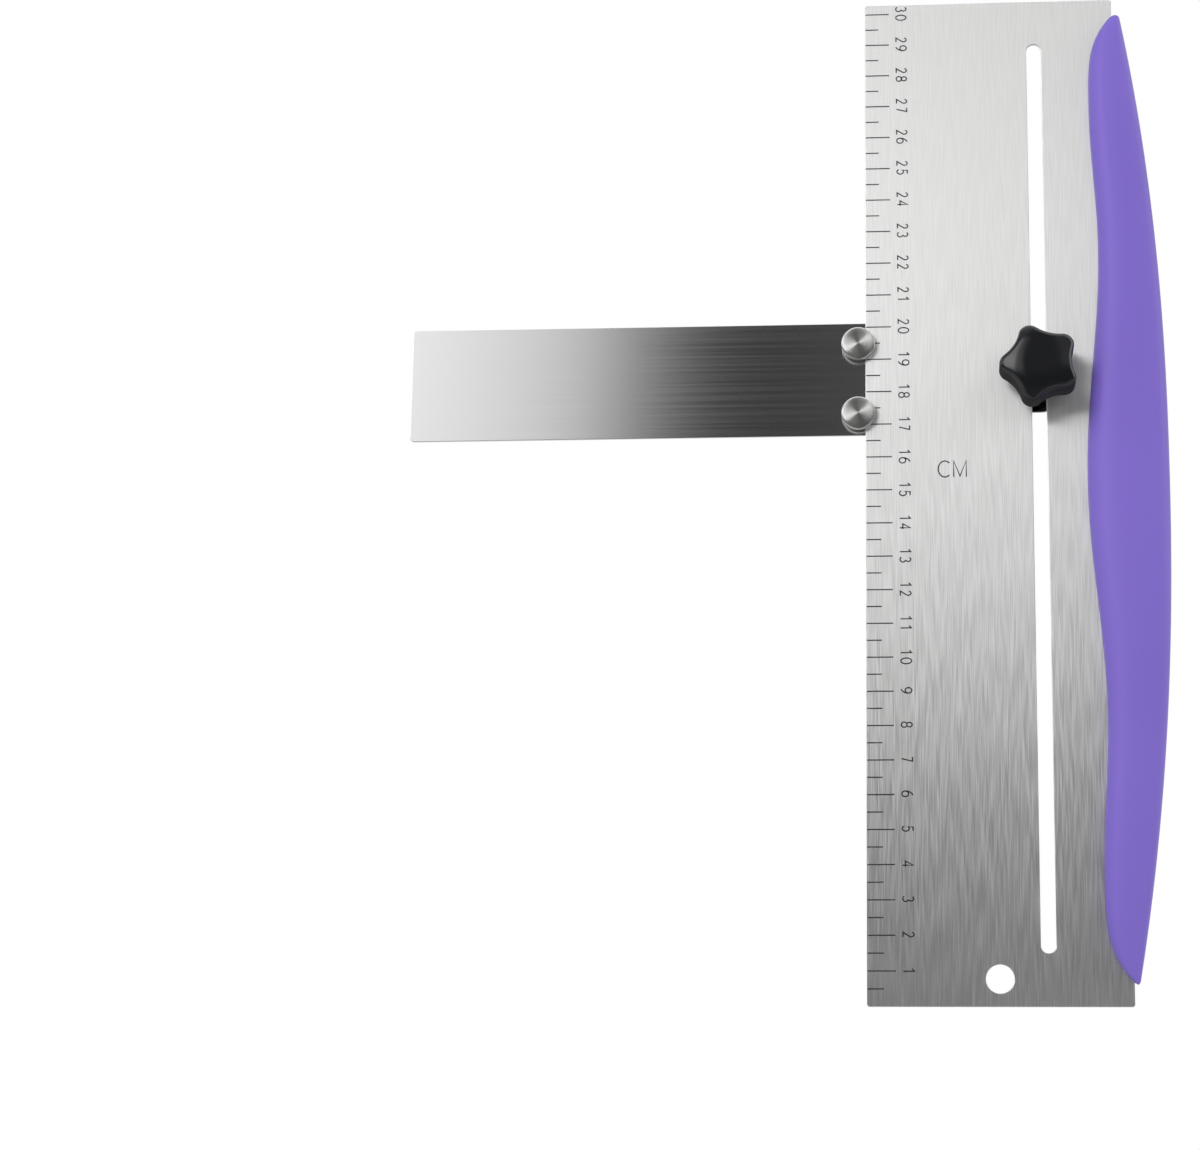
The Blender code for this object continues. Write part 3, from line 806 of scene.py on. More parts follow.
def curve(centre: complex, across: float, up: float, start: float, end: float, steps: int = 14) -> np.ndarray:
    """A stroke along an ellipse: centre + (across cos t, up sin t), from start to end in degrees."""
    t = np.radians(np.linspace(start, end, steps + 1))
    return centre + across * np.cos(t) + 1j * up * np.sin(t)


def figure_strokes() -> dict[str, list[np.ndarray]]:
    """The strokes of each figure and letter: plain arcs and lines on a cap height of 1, centred on x = 0.

    Returns:
        The strokes by character.
    """
    return {
        "0": [curve(0.5j, 0.27, 0.5, 0, 360, 28)],
        "1": [line(-0.13 + 0.80j, 0.09 + 1j, 0.09 + 0j)],
        "2": [np.concatenate([curve(0.74j, 0.2, 0.26, 165, -30), line(-0.21 + 0j, 0.22 + 0j)])],
        "3": [np.concatenate([
            curve(-0.03 + 0.76j, 0.2, 0.24, 150, -90), curve(-0.03 + 0.26j, 0.25, 0.26, 90, -150)
        ])],
        "4": [line(0.13 + 0j, 0.13 + 1j, -0.25 + 0.28j, 0.25 + 0.28j)],
        "5": [np.concatenate([
            line(0.2 + 1j, -0.15 + 1j, -0.18 + 0.56j), curve(-0.02 + 0.32j, 0.25, 0.32, 130, -150)
        ])],
        "6": [curve(0.31j, 0.26, 0.31, 0, 360, 24), curve(0.26 + 0.31j, 0.52, 0.72, 180, 105)],
        "7": [line(-0.2 + 1j, 0.2 + 1j, -0.05 + 0j)],
        "8": [curve(0.75j, 0.21, 0.25, 0, 360, 24), curve(0.26j, 0.25, 0.26, 0, 360, 24)],
        "9": [curve(0.69j, 0.26, 0.31, 0, 360, 24), curve(-0.26 + 0.69j, 0.52, 0.72, 0, -75)],
        "C": [curve(0.12 + 0.5j, 0.40, 0.5, 48, 312, 30)],
        "M": [line(-0.36 + 0j, -0.36 + 1j, 0.02 + 0.05j, 0.40 + 1j, 0.40 + 0j)],
    }


@dataclass
class EtchedScale:
    """The centimetre scale along the plate's left edge: lines, figures 1 to 30 and a unit mark."""

    plate: RulerPlate
    centimetres: int = 30
    long_line: float = 8.15 * MM
    short_line: float = 4.85 * MM
    slant: float = 0.8 * MM
    line_width: float = 0.35 * MM
    stroke_width: float = 0.37 * MM
    depth: float = 0.02 * MM
    figure_height: float = 3.1 * MM
    figure_middle: float = 11.85 * MM
    figure_lift: float = 0.2 * MM
    figure_pitch: float = 2.7 * MM
    unit_place: complex = complex(22.66 * MM, 153.6 * MM)
    unit_height: float = 4.85 * MM
    unit_pitch: float = 4.9 * MM
    strokes: dict[str, list[np.ndarray]] = field(default_factory=figure_strokes)

    def ribbon(self, path: np.ndarray, width: float) -> tuple[np.ndarray, np.ndarray]:
        """One stroke as a thin closed bar: each point moved half a width to both sides of the path.

        Args:
            path: complex points.
            width: the stroke's width.

        Returns:
            Vertices and quads.
        """
        ahead = np.diff(path)
        ahead = ahead / np.abs(ahead)
        side = 1j * np.concatenate([ahead[:1], ahead[:-1] + ahead[1:], ahead[-1:]])
        mitre = np.concatenate([[1], np.abs(ahead[:-1] + ahead[1:]) / 2, [1]])
        offset = side / np.abs(side) * width / 2 / np.maximum(mitre, MITRE_LEAST)
        rows = np.stack([path + offset, path - offset], 1)
        surface = -self.plate.thickness / 2
        front = np.stack([rows.real, np.full(rows.shape, surface - self.depth), rows.imag], 2)
        back = front + [0, self.depth, 0]
        around = np.concatenate([front, back[:, ::-1]], 1)
        count, corners = around.shape[:2]
        j = np.arange(corners)
        i, k = np.arange(count - 1)[:, None] * corners, np.roll(j, -1)
        sides = np.stack([i + j, i + corners + j, i + corners + k, i + k], 2).reshape(-1, corners)
        return around.reshape(-1, 3), np.vstack([sides, j, count * corners - 1 - j])

    def collect(self, name: str, paths: list[np.ndarray], width: float, material: bpy.types.Material) -> None:
        """Joins the bars of many strokes into one piece on the plate.

        Args:
            name: the piece's name.
            paths: the strokes.
            width: their width.
            material: their finish.
        """
        vertices, faces, start = [], [], 0
        for path in paths:
            points, quads = self.ribbon(path, width)
            vertices.append(points)
            faces.append(quads + start)
            start += len(points)
        mesh = bpy.data.meshes.new(name)
        mesh.from_pydata(np.vstack(vertices).tolist(), [], np.vstack(faces).tolist())
        face_outwards(mesh)
        dress(link_object(name, mesh), material, Body.SCRAPER, "brushed_plate")

    def column(self, across: float, height: np.ndarray | float) -> np.ndarray | float:
        """x of a column of the etching, which leans: at the scale's top it lies further left by slant.

        Args:
            across: the column's distance from the plate's edge at the foot.
            height: z of the place.

        Returns:
            x at that height.
        """
        return self.plate.left + across - self.slant * height / (self.centimetres * CENTIMETRE)

    def lines(self) -> list[np.ndarray]:
        """A long line at each centimetre and a short one at each half.

        Returns:
            The strokes.
        """
        halves = np.arange(1, 2 * self.centimetres + 1)
        heights = halves * CENTIMETRE / 2
        ends = self.column(np.where(halves % 2 == 0, self.long_line, self.short_line), heights)
        start = self.plate.left + self.plate.edge
        return [line(complex(start, z), complex(x, z)) for z, x in zip(heights, ends)]

    def figures(self) -> list[np.ndarray]:
        """The numbers, turned a quarter clockwise so that they read down the scale, each centred on its line.

        Returns:
            The strokes.
        """
        paths = []
        for number in range(1, self.centimetres + 1):
            text, height = str(number), number * CENTIMETRE
            middle = complex(self.column(self.figure_middle, height), height + self.figure_lift)
            for place, mark in enumerate(text):
                along = (place - (len(text) - 1) / 2) * self.figure_pitch
                for stroke in self.strokes[mark]:
                    upright = (stroke - 0.5j) * self.figure_height + along
                    paths.append(middle + upright * -1j)
        return paths

    def unit_mark(self) -> list[np.ndarray]:
        """The unit, upright beside the scale.

        Returns:
            The strokes.
        """
        corner = self.plate.left + self.unit_place
        return [
            corner + place * self.unit_pitch + stroke * self.unit_height
            for place, mark in enumerate("CM")
            for stroke in self.strokes[mark]
        ]

    def build(self, finish: EtchedMark) -> None:
        """Makes the three sets of marks.

        Args:
            finish: the etching's finish.
        """
        material = finish.material()
        self.collect("scale_lines", self.lines(), self.line_width, material)
        self.collect("scale_figures", self.figures(), self.stroke_width, material)
        self.collect("scale_unit", self.unit_mark(), self.stroke_width, material)


@dataclass
class CrescentHandle:
    """The moulded handle: two half shells whose inner edge waves over the plate and whose back is bowed."""

    plate: RulerPlate
    bottom: float = 6.3 * MM
    top: float = 5.5 * MM
    waves: tuple[float, ...] = (0.105, 0.262, 0.5, 0.746, 0.896)
    overlaps: tuple[float, ...] = (7.75 * MM, 5.85 * MM, 10.2 * MM, 5.65 * MM, 7.55 * MM)
    tip_overlaps: tuple[float, float] = (-0.55 * MM, 0.1 * MM)
    end_sharpness: float = 3.9
    widest: float = 0.511
    reach_middle: float = 13.7 * MM
    tip_reaches: tuple[float, float] = (1.55 * MM, 2.25 * MM)
    bow_power: float = 2.24
    tip_round: float = 1.0 * MM
    tip_blunt: float = 0.1 * MM
    crown: float = 6.3 * MM
    power: float = 2.6
    stations: int = 240
    arch_steps: int = 40

    @property
    def length(self) -> float:
        """From tip to tip."""
        return self.plate.height - self.bottom - self.top

    def overlap(self, share: np.ndarray) -> np.ndarray:
        """How far the handle covers the plate: half cosine waves, with a power curve to each tip.

        Args:
            share: places along the length, 0 at the lower tip and 1 at the upper.

        Returns:
            The overlap at each place.
        """
        marks, depths = np.array(self.waves), np.array(self.overlaps)
        piece = np.clip(np.searchsorted(marks, share) - 1, 0, len(marks) - 2)
        within = np.clip((share - marks[piece]) / (marks[piece + 1] - marks[piece]), 0, 1)
        wave = depths[piece] + (depths[piece + 1] - depths[piece]) * (1 - np.cos(np.pi * within)) / 2
        low = np.clip(1 - share / marks[0], 0, 1) ** self.end_sharpness
        high = np.clip((share - marks[-1]) / (1 - marks[-1]), 0, 1) ** self.end_sharpness
        wave = wave + (self.tip_overlaps[0] - depths[0]) * low
        return wave + (self.tip_overlaps[1] - depths[-1]) * high

    def reach(self, share: np.ndarray) -> np.ndarray:
        """How far the handle stands out beyond the plate: a power curve from its widest place to each tip.

        Args:
            share: as in overlap.

        Returns:
            The reach at each place.
        """
        low = np.clip(1 - share / self.widest, 0, 1) ** self.bow_power
        high = np.clip((share - self.widest) / (1 - self.widest), 0, 1) ** self.bow_power
        fall = [tip - self.reach_middle for tip in self.tip_reaches]
        return self.reach_middle + fall[0] * low + fall[1] * high

    def edges(self, share: np.ndarray) -> tuple[np.ndarray, np.ndarray]:
        """The left and right edges, drawn together at the tips by a circle's sqrt(1 - d^2).

        Args:
            share: as in overlap.

        Returns:
            x of the left edge and of the right one at each place.
        """
        left, right = self.plate.right - self.overlap(share), self.plate.right + self.reach(share)
        to_tip = np.minimum(share, 1 - share) * self.length + self.tip_blunt
        rounding = np.sqrt(1 - np.clip(1 - to_tip / self.tip_round, 0, 1) ** 2)
        middle, half = (left + right) / 2, (right - left) / 2 * rounding
        return middle - half, middle + half

    def half(self, name: str, face: Face) -> bpy.types.Object:
        """One half: each ring is a flattened arch |x|^p + |y|^p = 1 over the parting plane.

        Where it lies over the plate, its foot is stepped to clear the plate's face.

        Args:
            name: the object's name.
            face: which side of the plate it lies on.

        Returns:
            The object.
        """
        share = (1 - np.cos(np.linspace(0, math.pi, self.stations))) / 2
        left, right = self.edges(share)
        z = self.bottom + share * self.length
        widest = max(self.overlaps) + self.reach_middle
        crown = self.crown * np.sqrt((right - left) / widest)
        angle = np.linspace(math.pi, 0, self.arch_steps + 1)
        across = np.sign(np.cos(angle)) * np.abs(np.cos(angle)) ** (2 / self.power)
        up = np.clip(np.sin(angle), 0, 1) ** (2 / self.power)
        x = ((left + right) / 2)[:, None] + ((right - left) / 2)[:, None] * across
        y = CLEARANCE / 2 + crown[:, None] * up
        step_x = np.maximum(self.plate.right + CLEARANCE, left)[:, None]
        step_y = self.plate.thickness / 2 + CLEARANCE
        y = np.where(x < step_x, np.maximum(y, step_y), y)
        floor = np.full((len(share), 1), CLEARANCE / 2)
        seat = np.where(left[:, None] < step_x, step_y, floor)
        x = np.hstack([x, step_x, step_x])
        y = np.hstack([y, floor, seat])
        rings = np.stack([x, face.value * y, np.repeat(z[:, None], x.shape[1], 1)], 2)
        centres = rings.mean(axis=1, keepdims=True).repeat(x.shape[1], 1)
        points = np.concatenate([centres[:1], rings, centres[-1:]])
        return ring_surface(name, points, Ends.POLES)

    def build(self, finish: MouldedPlastic) -> None:
        """Makes both halves.

        Args:
            finish: the plastic.
        """
        material = finish.material()
        for name, face in (("handle_front", Face.FRONT), ("handle_rear", Face.REAR)):
            dress(self.half(name, face), material, Body.SCRAPER, "handle_plastic", f"{name}_half")


@dataclass
class LevellingBlade:
    """The polished strip behind the plate, stepped down to a round tail at the clamp."""

    plate: RulerPlate
    clamp_height: float = 184.3 * MM
    height: float = 34.6 * MM
    reach: float = 136.5 * MM
    thickness: float = 1.0 * MM
    corner: float = 1.2 * MM
    lap: float = 25 * MM
    tail: float = 22 * MM
    fillet: float = 2.775 * MM
    edge: float = 0.12 * MM
    corner_steps: int = 10
    tail_steps: int = 48

    @property
    def front(self) -> float:
        """y of the blade's front face."""
        return self.plate.thickness / 2 + CLEARANCE

    def outline(self) -> np.ndarray:
        """The blade's edge, counter-clockwise from its free lower corner: arcs joined by straight lines.

        Returns:
            Complex points x + iz.
        """
        left, shoulder = self.plate.left - self.reach, self.plate.left + self.lap
        half, tail, fillet, corner = self.height / 2, self.tail / 2, self.fillet, self.corner
        low, high, middle = self.clamp_height - half, self.clamp_height + half, self.clamp_height
        steps = self.corner_steps
        return np.concatenate([
            arc(complex(left + corner, low + corner), corner, 180, 270, steps),
            arc(complex(shoulder - fillet, low + fillet), fillet, 270, 360, steps),
            arc(complex(shoulder + fillet, middle - tail - fillet), fillet, 180, 90, steps),
            arc(complex(self.plate.slot_x, middle), tail, -90, 90, self.tail_steps),
            arc(complex(shoulder + fillet, middle + tail + fillet), fillet, 270, 180, steps),
            arc(complex(shoulder - fillet, high - fillet), fillet, 0, 90, steps),
            arc(complex(left + corner, high - corner), corner, 90, 180, steps),
        ])

    def build(self, finish: PolishedStainless) -> None:
        """Makes the blade in place of its CAD node.

        Args:
            finish: the blade's finish.
        """
        back = self.front + self.thickness
        blade = rounded_sheet("blade_strip", [self.outline()], self.front, back, self.edge)
        dress(blade, finish.material(), Body.BLADE, "polished_blade", "levelling_blade")


def softened(
    profile: Sequence[tuple[float, float]], radius: float, steps: int = 4
) -> list[tuple[float, float]]:
    """Rounds each inner corner of a profile with a parabola between the two points a radius away from it.

    Args:
        profile: (radius, distance) points.
        radius: how far from the corner the rounding starts.
        steps: how many pieces it has.

    Returns:
        The longer profile.
    """
    points = np.array(profile)
    rounded = [tuple(points[0])]
    for before, corner, after in zip(points, points[1:], points[2:]):
        back, ahead = before - corner, after - corner
        reach = min(radius, np.linalg.norm(back) / CORNER_ROOM, np.linalg.norm(ahead) / CORNER_ROOM)
        start = corner + back / np.linalg.norm(back) * reach
        end = corner + ahead / np.linalg.norm(ahead) * reach
        t = np.linspace(0, 1, steps + 1)[:, None]
        rounded += [tuple(p) for p in (1 - t) ** 2 * start + 2 * t * (1 - t) * corner + t**2 * end]
    rounded.append(tuple(points[-1]))
    return rounded


@dataclass
class GuideStuds:
    """The two turned studs that hook round the plate's left edge, and their pan-head screws."""

    plate: RulerPlate
    blade: LevellingBlade
    spacing: float = 21.4 * MM
    drop: float = 0.5 * MM
    head: float = 10 * MM
    head_thickness: float = 2.0 * MM
    head_round: float = 0.5 * MM
    shoulder: float = 3.6 * MM
    cone: float = 0.12 * MM
    screw_head: float = 4.0 * MM
    screw_head_height: float = 1.5 * MM
    shank: float = 2.0 * MM
    recess: float = 2.2 * MM
    recess_depth: float = 0.9 * MM
    arm_half: float = 0.32 * MM
    arm_slope: float = 0.12 * MM
    end_slope: float = 0.15 * MM
    crown_foot: float = 0.4
    crown_dish: float = 0.02 * MM
    end_wall: float = 0.8 * MM
    cone_shares: tuple[float, ...] = (0.3, 0.6, 1.0)
    crown_angles: tuple[float, ...] = (0, 12, 24, 36, 48, 58)
    recess_shares: tuple[float, ...] = tuple(np.linspace(1.1, 0.1, 11))

    @property
    def x(self) -> float:
        """The studs' axis."""
        return self.plate.left - CLEARANCE - self.shoulder / 2

    def heights(self) -> dict[str, float]:
        """The studs' places along the plate's edge.

        Returns:
            z of each stud by name.
        """
        middle, half = self.blade.clamp_height - self.drop, self.spacing / 2
        return {"upper": middle + half, "lower": middle - half}

    def stud(self, place: str, z: float) -> bpy.types.Object:
        """One stud: a faced head with a rounded rim, and the shoulder behind it.

        Args:
            place: the stud's name.
            z: its height.

        Returns:
            The object.
        """
        seat = self.plate.thickness / 2 + CLEARANCE
        face, end = seat + self.head_thickness, -(self.blade.front - CLEARANCE)
        head, shoulder = self.head / 2, self.shoulder / 2
        profile = [
            (0, face),
            *[(head * share, face - self.cone * share) for share in self.cone_shares],
            (head, seat),
            (shoulder, seat),
            (shoulder, end),
            (0, end),
        ]
        rounded = softened(profile, self.head_round)
        return turned_piece(f"stud_{place}", complex(self.x, z), rounded, Ends.POLES)

    def screw(self, place: str, z: float) -> bpy.types.Object:
        """One pan-head screw, turned as turned_piece does it, with a cross recess sunk into its head.

        A point sinks by the recess's depth where the lesser of |x| and |z| is inside the arms' half width and
        the greater inside their length. The clipped slopes of both are multiplied.

        Args:
            place: the stud's name.
            z: its height.

        Returns:
            The object.
        """
        seat = self.blade.front + self.blade.thickness + CLEARANCE
        tip = -(self.plate.thickness / 2 + CLEARANCE + self.head_thickness - self.end_wall - CLEARANCE)
        head, shank, recess = self.screw_head / 2, self.shank / 2, self.recess / 2
        top = -(seat + self.screw_head_height)
        crown = np.radians(self.crown_angles)
        rise = self.screw_head_height * (self.crown_foot + (1 - self.crown_foot) * np.sin(crown))
        rings = np.array([
            *[(0, -tip), (shank, -tip), (shank, -seat), (head, -seat)],
            *zip(head * np.cos(crown), -seat - rise),
            *[(recess * share, top + self.crown_dish * share) for share in self.recess_shares],
            (0, top),
        ])
        local = rings[:, :1] * unit(np.linspace(0, TURN, ROUND_STEPS, endpoint=False))
        arm = np.minimum(np.abs(local.real), np.abs(local.imag))
        along = np.maximum(np.abs(local.real), np.abs(local.imag))
        sunk = np.clip((self.arm_half - arm) / self.arm_slope, 0, 1)
        sunk *= np.clip((recess - along) / self.end_slope, 0, 1)
        sunk[: -len(self.recess_shares) - 1] = 0
        flat, y = complex(self.x, z) + local, -rings[:, 1:] - sunk * self.recess_depth
        return ring_surface(f"screw_{place}", np.stack([flat.real, y, flat.imag], 2), Ends.POLES)

    def build(self, turned: TurnedStainless, plated: bpy.types.Material) -> None:
        """Makes the studs and their screws.

        Args:
            turned: the studs' finish.
            plated: the screws' material.
        """
        steel = turned.material()
        for place, z in self.heights().items():
            dress(self.stud(place, z), steel, Body.BLADE, "turned_stud", f"guide_stud_{place}")
            dress(self.screw(place, z), plated, Body.BLADE, "plated_fastener", f"stud_screw_{place}")


@dataclass
class StarKnob:
    """The five-lobed knob with its brass bush, the washer under it and the carriage bolt through them."""

    plate: RulerPlate
    blade: LevellingBlade
    radius: float = 11.8 * MM
    lobes: int = 5
    lobe_radius: float = 3.2 * MM
    valley: float = 9.2 * MM
    first_lobe: float = math.radians(38.2)
    hub: float = 11 * MM
    hub_height: float = 3.9 * MM
    thickness: float = 10 * MM
    edge: float = 1.3 * MM
    back_edge: float = 0.5 * MM
    back_margin: float = 1.5 * MM
    dome: float = 1.7 * MM
    wall: float = 1.8 * MM
    pocket: float = 5.0 * MM
    rib: float = 1.2 * MM
    washer: float = 12 * MM
    washer_thickness: float = 1.0 * MM
    bolt: float = 3.9 * MM
    bolt_shank: float = 3.6 * MM
    bolt_head: float = 9.5 * MM
    bolt_head_height: float = 2.3 * MM
    engagement: float = 9.0 * MM
    pitch: float = 0.7 * MM
    thread_depth: float = 0.25 * MM
    thread_steps: int = 8
    tip_chamfer: float = 0.5 * MM
    tip_length: float = 0.3 * MM
    neck_step: float = 0.05 * MM
    neck_corner: float = 1.35
    dome_foot: float = 0.2
    dome_angles: tuple[float, ...] = (0, 10, 20, 32, 44, 56, 68, 80)
    washer_edge: float = 0.1 * MM
    washer_crease: float = 30.0
    bush: float = 7 * MM
    bush_length: float = 8 * MM
    arc_steps: int = 20
    edge_steps: int = 12
    back_edge_steps: int = 4
    face_steps: int = 15

    @property
    def axis(self) -> complex:
        """The bolt's axis as x + iz."""
        return complex(self.plate.slot_x, self.blade.clamp_height)

    @property
    def washer_front(self) -> float:
        """How far the washer's front face stands in front of Y = 0."""
        return self.plate.thickness / 2 + CLEARANCE + self.washer_thickness

    @property
    def back(self) -> float:
        """How far the hub's back face stands in front of Y = 0."""
        return self.washer_front + CLEARANCE

    def outline(self, inset: float = 0.0) -> np.ndarray:
        """The star: lobe arcs and hollow arcs that touch tangentially, drawn in by an inset.

        Args:
            inset: distance inside the full outline.

        Returns:
            Complex points about the axis, counter-clockwise.
        """
        step = math.pi / self.lobes
        lobe_at = self.radius - self.lobe_radius
        along, aside = lobe_at * math.cos(step), lobe_at * math.sin(step)
        depth = self.valley - along
        hollow = (depth**2 + aside**2 - self.lobe_radius**2) / (2 * (self.lobe_radius - depth))
        hollow_at = self.valley + hollow
        half_hollow = math.atan2(aside, hollow_at - along)
        half_lobe = half_hollow + step
        t = np.linspace(-1, 1, self.arc_steps, endpoint=False)
        turn = self.first_lobe + 2 * step * np.arange(self.lobes)[:, None]
        lobe = lobe_at * unit(turn) + (self.lobe_radius - inset) * unit(turn + half_lobe * t)
        dip = hollow_at * unit(turn + step) + (hollow + inset) * unit(turn + step + math.pi - half_hollow * t)
        return np.concatenate([lobe, dip], axis=1).reshape(-1)

    def ring(self, front: float, inset: float = 0.0, scale: float = 1.0, dome: float = 0.0) -> np.ndarray:
        """The outline in 3-D, each point falling back from the front by dome * (its share of the radius)^3.

        Args:
            front: distance in front of Y = 0.
            inset: as in outline.
            scale: shrinks the outline towards the axis.
            dome: the fall at the full radius.

        Returns:
            An array of points by 3.
        """
        local = self.outline(inset) * scale
        flat = self.axis + local
        fall = dome * (np.abs(local) / self.radius) ** 3
        return np.stack([flat.real, fall - front, flat.imag], 1)

    def loft(self, name: str, rings: list[np.ndarray]) -> bpy.types.Object:
        """A closed solid through star rings, each end drawn to a point on the axis.

        Args:
            name: the object's name.
            rings: the rings from back to front.

        Returns:
            The object.
        """
        first, last = rings[0].copy(), rings[-1].copy()
        first[:, [0, 2]] = last[:, [0, 2]] = [self.axis.real, self.axis.imag]
        return ring_surface(name, np.stack([first, *rings, last]), Ends.POLES)

    def star(self) -> bpy.types.Object:
        """The outer form: back edge, side, quarter-round front edge and a low round dome.

        Returns:
            The object.
        """
        back = self.back + self.hub_height
        front = back + self.thickness
        rings = [self.ring(back, self.back_margin)]
        rings += [
            self.ring(back + self.back_edge * (1 - math.cos(a)), self.back_edge * (1 - math.sin(a)))
            for a in np.linspace(0, math.pi / 2, self.back_edge_steps + 1)
        ]
        rings += [
            self.ring(front - self.edge * (1 - math.sin(a)), self.edge * (1 - math.cos(a)), 1.0, self.dome)
            for a in np.linspace(0, math.pi / 2, self.edge_steps + 1)
        ]
        shares = np.linspace(1, 0, self.face_steps + 1)[1:-1]
        rings += [self.ring(front, self.edge, share, self.dome) for share in shares]
        return self.loft("star_knob", rings)

    def rod(self, name: str, diameter: float, start: float, end: float) -> bpy.types.Object:
        """A round rod on the axis, for coring.

        Args:
            name: the object's name.
            diameter: the rod's diameter.
            start: how far its back stands in front of Y = 0.
            end: how far its front does.

        Returns:
            The object.
        """
        radius = diameter / 2
        profile = [(0, end), (radius, end), (radius, start), (0, start)]
        return turned_piece(name, self.axis, profile, Ends.POLES)

    def rib_block(self, number: int, end: float) -> bpy.types.Object:
        """A flat block from the axis towards a hollow of the star, for coring.

        Args:
            number: which hollow, counter-clockwise from the first lobe.
            end: how far its front stands in front of Y = 0.

        Returns:
            The object.
        """
        turn = unit(self.first_lobe + (2 * number + 1) * math.pi / self.lobes)
        along, aside = np.array([0, 1, 1, 0]) * self.radius, np.array([-1, -1, 1, 1]) * self.rib / 2
        corners = self.axis + turn * (along + 1j * aside)
        back = np.stack([corners.real, np.zeros(4), corners.imag], 1)
        mesh = bpy.data.meshes.new(f"rib_{number}")
        faces = [(0, 1, 2, 3), (7, 6, 5, 4), (0, 4, 5, 1), (1, 5, 6, 2), (2, 6, 7, 3), (3, 7, 4, 0)]
        mesh.from_pydata(np.vstack([back, back - [0, end, 0]]).tolist(), [], faces)
        face_outwards(mesh)
        return link_object(f"rib_{number}", mesh)

    def cored(self, knob: bpy.types.Object) -> bpy.types.Object:
        """Cores the back as the mould does: a star pocket leaves the wall, the hub and a rib to each dip.

        Args:
            knob: the outer form.

        Returns:
            The same object, cored and with its hub and its holes.
        """
        back = self.back + self.hub_height
        floor = back + self.pocket
        bush_end = self.back + self.bush_length + CLEARANCE
        bolt_end = self.back + self.engagement + 2 * CLEARANCE
        ends = [self.ring(back - self.hub_height / 2, self.wall), self.ring(floor, self.wall)]
        pocket = self.loft("pocket", ends)
        kept = [self.rod("core", self.hub - CLEARANCE, 0, floor + self.pocket)]
        kept += [self.rib_block(number, floor + self.pocket) for number in range(self.lobes)]
        hub = self.rod("hub", self.hub, self.back, floor + self.wall / 2)
        bush_hole = self.rod("bush_hole", self.bush + 2 * CLEARANCE, 0, bush_end)
        shank_hole = self.rod("shank_hole", self.bolt + 2 * CLEARANCE, 0, bolt_end)
        steps = [(pocket, "DIFFERENCE", tool) for tool in kept]
        steps += [(knob, "DIFFERENCE", pocket), (knob, "UNION", hub)]
        steps += [(knob, "DIFFERENCE", bush_hole), (knob, "DIFFERENCE", shank_hole)]
        for target, operation, tool in steps:
            modifier = target.modifiers.new(operation.lower(), "BOOLEAN")
            modifier.operation = operation
            modifier.solver = "EXACT"
            modifier.object = tool
        bpy.context.view_layer.update()
        graph = bpy.context.evaluated_depsgraph_get()
        mesh = bpy.data.meshes.new_from_object(knob.evaluated_get(graph))
        knob.modifiers.clear()
        knob.data = mesh
        mesh.shade_smooth()
        mesh.set_sharp_from_angle(angle=math.radians(CREASE))
        for helper in (pocket, *kept, hub, bush_hole, shank_hole):
            bpy.data.objects.remove(helper, do_unlink=True)
        return knob

    def bolt_piece(self) -> bpy.types.Object:
        """The carriage bolt: domed head, square neck in the blade, plain shank in the slot, and a thread.

        The thread's radius falls by a triangle wave of the height over one pitch less the angle over a full
        turn. The neck's is half its side over the greater of |cos t| and |sin t|, with its corners taken off.

        Returns:
            The object.
        """
        seat, thread = self.blade.front + self.blade.thickness + CLEARANCE, self.bolt / 2
        head, shank, top = self.bolt_head / 2, self.bolt_shank / 2, -(seat + self.bolt_head_height)
        tip, slot_front = self.back + self.engagement, self.plate.thickness / 2 + CLEARANCE
        dome = np.radians(self.dome_angles)
        rise = self.bolt_head_height * (self.dome_foot + (1 - self.dome_foot) * np.sin(dome))
        turns = np.arange(tip - self.tip_length, slot_front, -self.pitch / self.thread_steps)
        rings = np.array([
            *[(0, tip), (thread - self.tip_chamfer, tip)],
            *[(thread, height) for height in turns],
            *[(shank, slot_front), (shank, -self.blade.front + self.neck_step)],
            *[(thread, -self.blade.front), (thread, -seat), (head, -seat)],
            *zip(head * np.cos(dome), -seat - rise),
            (0, top),
        ])
        angle = np.linspace(0, TURN, ROUND_STEPS, endpoint=False)
        radius = np.repeat(rings[:, :1], ROUND_STEPS, 1)
        phase = (rings[:, 1:] / self.pitch - angle / TURN) % 1
        first, last = 2, 2 + len(turns)
        radius[first:last] -= (self.thread_depth * np.abs(2 * phase - 1))[first:last]
        square = thread / np.maximum(np.abs(np.cos(angle)), np.abs(np.sin(angle)))
        radius[last + 2 : last + 4] = np.minimum(square, thread * self.neck_corner)
        flat = self.axis + radius * unit(angle)
        y = -np.repeat(rings[:, 1:], ROUND_STEPS, 1)
        return ring_surface("carriage_bolt", np.stack([flat.real, y, flat.imag], 2), Ends.POLES)

